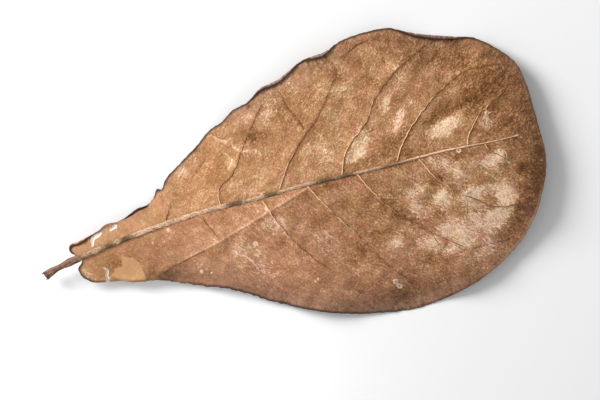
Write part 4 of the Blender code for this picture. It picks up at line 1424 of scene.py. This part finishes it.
def make_midrib(shape, tree, material):
    """The stalk, broken off at its end, and the midrib that it runs on into."""
    path = shape.rib[shape.rib[:, 0] > STALK_STARTS]
    along = path[:, 0]
    on_stalk = along < MIDRIB_HALF_WIDTH[0][0]
    half_width = np.where(on_stalk, curve_at(STALK_RADIUS, along),
                          curve_at(MIDRIB_HALF_WIDTH, along))
    half_width = half_width * (1 + 0.08 * np.sin(along / 1.9 + np.sin(along / 5.3))
                               + 0.06 * np.sin(along / 0.83 + 2 * np.sin(along / 3.1)))
    crest, keel = [np.where(on_stalk, half_width, curve_at(over, along) + SKIN)
                   for over in (MIDRIB_RISE, MIDRIB_KEEL)]
    cords = [cord(path, half_width, crest, keel, along, **rib_marks(along))]
    for path in smooth_paths(SPLINTERS, 0.4):
        width = np.linspace(*SPLINTER_HALF_WIDTH, len(path))
        run = np.linspace(3, 0, len(path))
        cords.append(cord(path, width, 1.3 * width, 1.3 * width, run, **rib_marks(run)))
    return swept("stalk_and_midrib", shape, cords, tree, {"Sides": 20, "Material": material})


def make_side_veins(shape, tree, material):
    """The side veins, which thin out towards the margin, and the short ones between them."""
    cords = []
    for number, path in enumerate(shape.veins):
        share = np.linspace(0, 1, len(path))
        half_width, rise = [inner + (outer - inner) * share
                            for inner, outer in (VEIN_HALF_WIDTH, VEIN_RISE)]
        fading = FAR_FADING if number < len(FAR_VEINS) else NEAR_FADING
        run = np.arange(len(path)) * VEIN_STEP + VEIN_RUNS_APART * number
        cords.append(cord(path, half_width * (1 - FAINT_NARROWER * FAINTNESS[number]),
                          rise + SKIN, VEIN_KEEL, run,
                          fresh=np.clip(1 - share / PALE_SHARE[number], 0, 1),
                          faint=np.clip(FAINTNESS[number] + fading * share ** 2, 0, 1)))
    for number, path in enumerate(shape.short_veins):
        taper = np.sin(np.pi * np.linspace(0.12, 0.95, len(path))) ** 0.5
        run = (np.arange(len(path)) * VEIN_STEP + SHORT_VEIN_RUNS_START
               + SHORT_VEIN_RUNS_APART * number)
        cords.append(cord(path, SHORT_VEIN_HALF_WIDTH * taper, SHORT_VEIN_RISE * taper + SKIN,
                          VEIN_KEEL, run, fresh=SHORT_VEIN_PALE, faint=SHORT_VEIN_FAINTNESS))
    return swept("side_veins", shape, cords, tree,
                 {"Sides": 8, "Groove depth": 0.06 * MM, "Material": material})


def make_table():
    """A pale table top."""
    corners = [(x * TABLE_REACH, y * TABLE_REACH, 0)
               for x, y in ((-1, -1), (1, -1), (1, 1), (-1, 1))]
    mesh = new_mesh("table", corners, faces=[(0, 1, 2, 3)])
    material, tree, shader = new_material("pale_table")
    tree.fill(shader, {"Base Color": TABLE_COLOUR, "Roughness": 0.9})
    mesh.materials.append(material)
    table = in_scene("table", mesh)


def add_lamp(name, size, energy, place, target):
    """A round lamp that faces its target."""
    lamp = bpy.data.lights.new(name, "AREA")
    lamp.shape = "DISK"
    lamp.size = size
    lamp.energy = energy
    made = in_scene(name, lamp)
    made.location = place
    made.rotation_euler = (Vector(place) - Vector(target)).to_track_quat("Z", "Y").to_euler()


def make_light(shape):
    """A window beyond the upper left, what the floor gives back by the stalk, and a pale room."""
    world = bpy.data.worlds.new("pale_room")
    world.use_nodes = True
    background = world.node_tree.nodes["Background"]
    background.inputs["Color"].default_value = (1, 1, 1, 1)
    background.inputs["Strength"].default_value = ROOM_STRENGTH
    bpy.context.scene.world = world
    away = TOWARDS_LIGHT / np.linalg.norm(TOWARDS_LIGHT) * WINDOW_DISTANCE
    add_lamp("window", *WINDOW, away.tolist(), (0, 0, 0))
    add_lamp("fill", *FILL, *shape.in_space(np.array([FILL_PLACE, FILL_TARGET])).tolist())


def make_camera(shape):
    """Looks straight down on the leaf, framed and turned as in the photograph."""
    lens = bpy.data.cameras.new("camera")
    lens.lens = LENS
    lens.sensor_width = SENSOR
    camera = in_scene("camera", lens)
    away = FRAMING_HEIGHT + PHOTO_WIDTH * LENS / SENSOR
    camera.location = shape.in_space(np.array([*PHOTO_MIDDLE, away])).tolist()
    camera.rotation_euler = (0, 0, -PHOTO_TURN)
    bpy.context.scene.camera = camera


def main():
    """Makes the leaf, its table, its light and the camera."""
    bpy.context.scene.view_settings.view_transform = "Standard"
    shape = LeafShape()
    make_camera(shape)
    make_light(shape)
    make_table()
    ribs = rib_tree()
    pieces = [make_blade(shape, blade_material()), make_midrib(shape, ribs, midrib_material()),
              make_side_veins(shape, ribs, vein_material())]
    for piece in pieces:
        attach(piece, "root")
        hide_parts("leaf")


main()
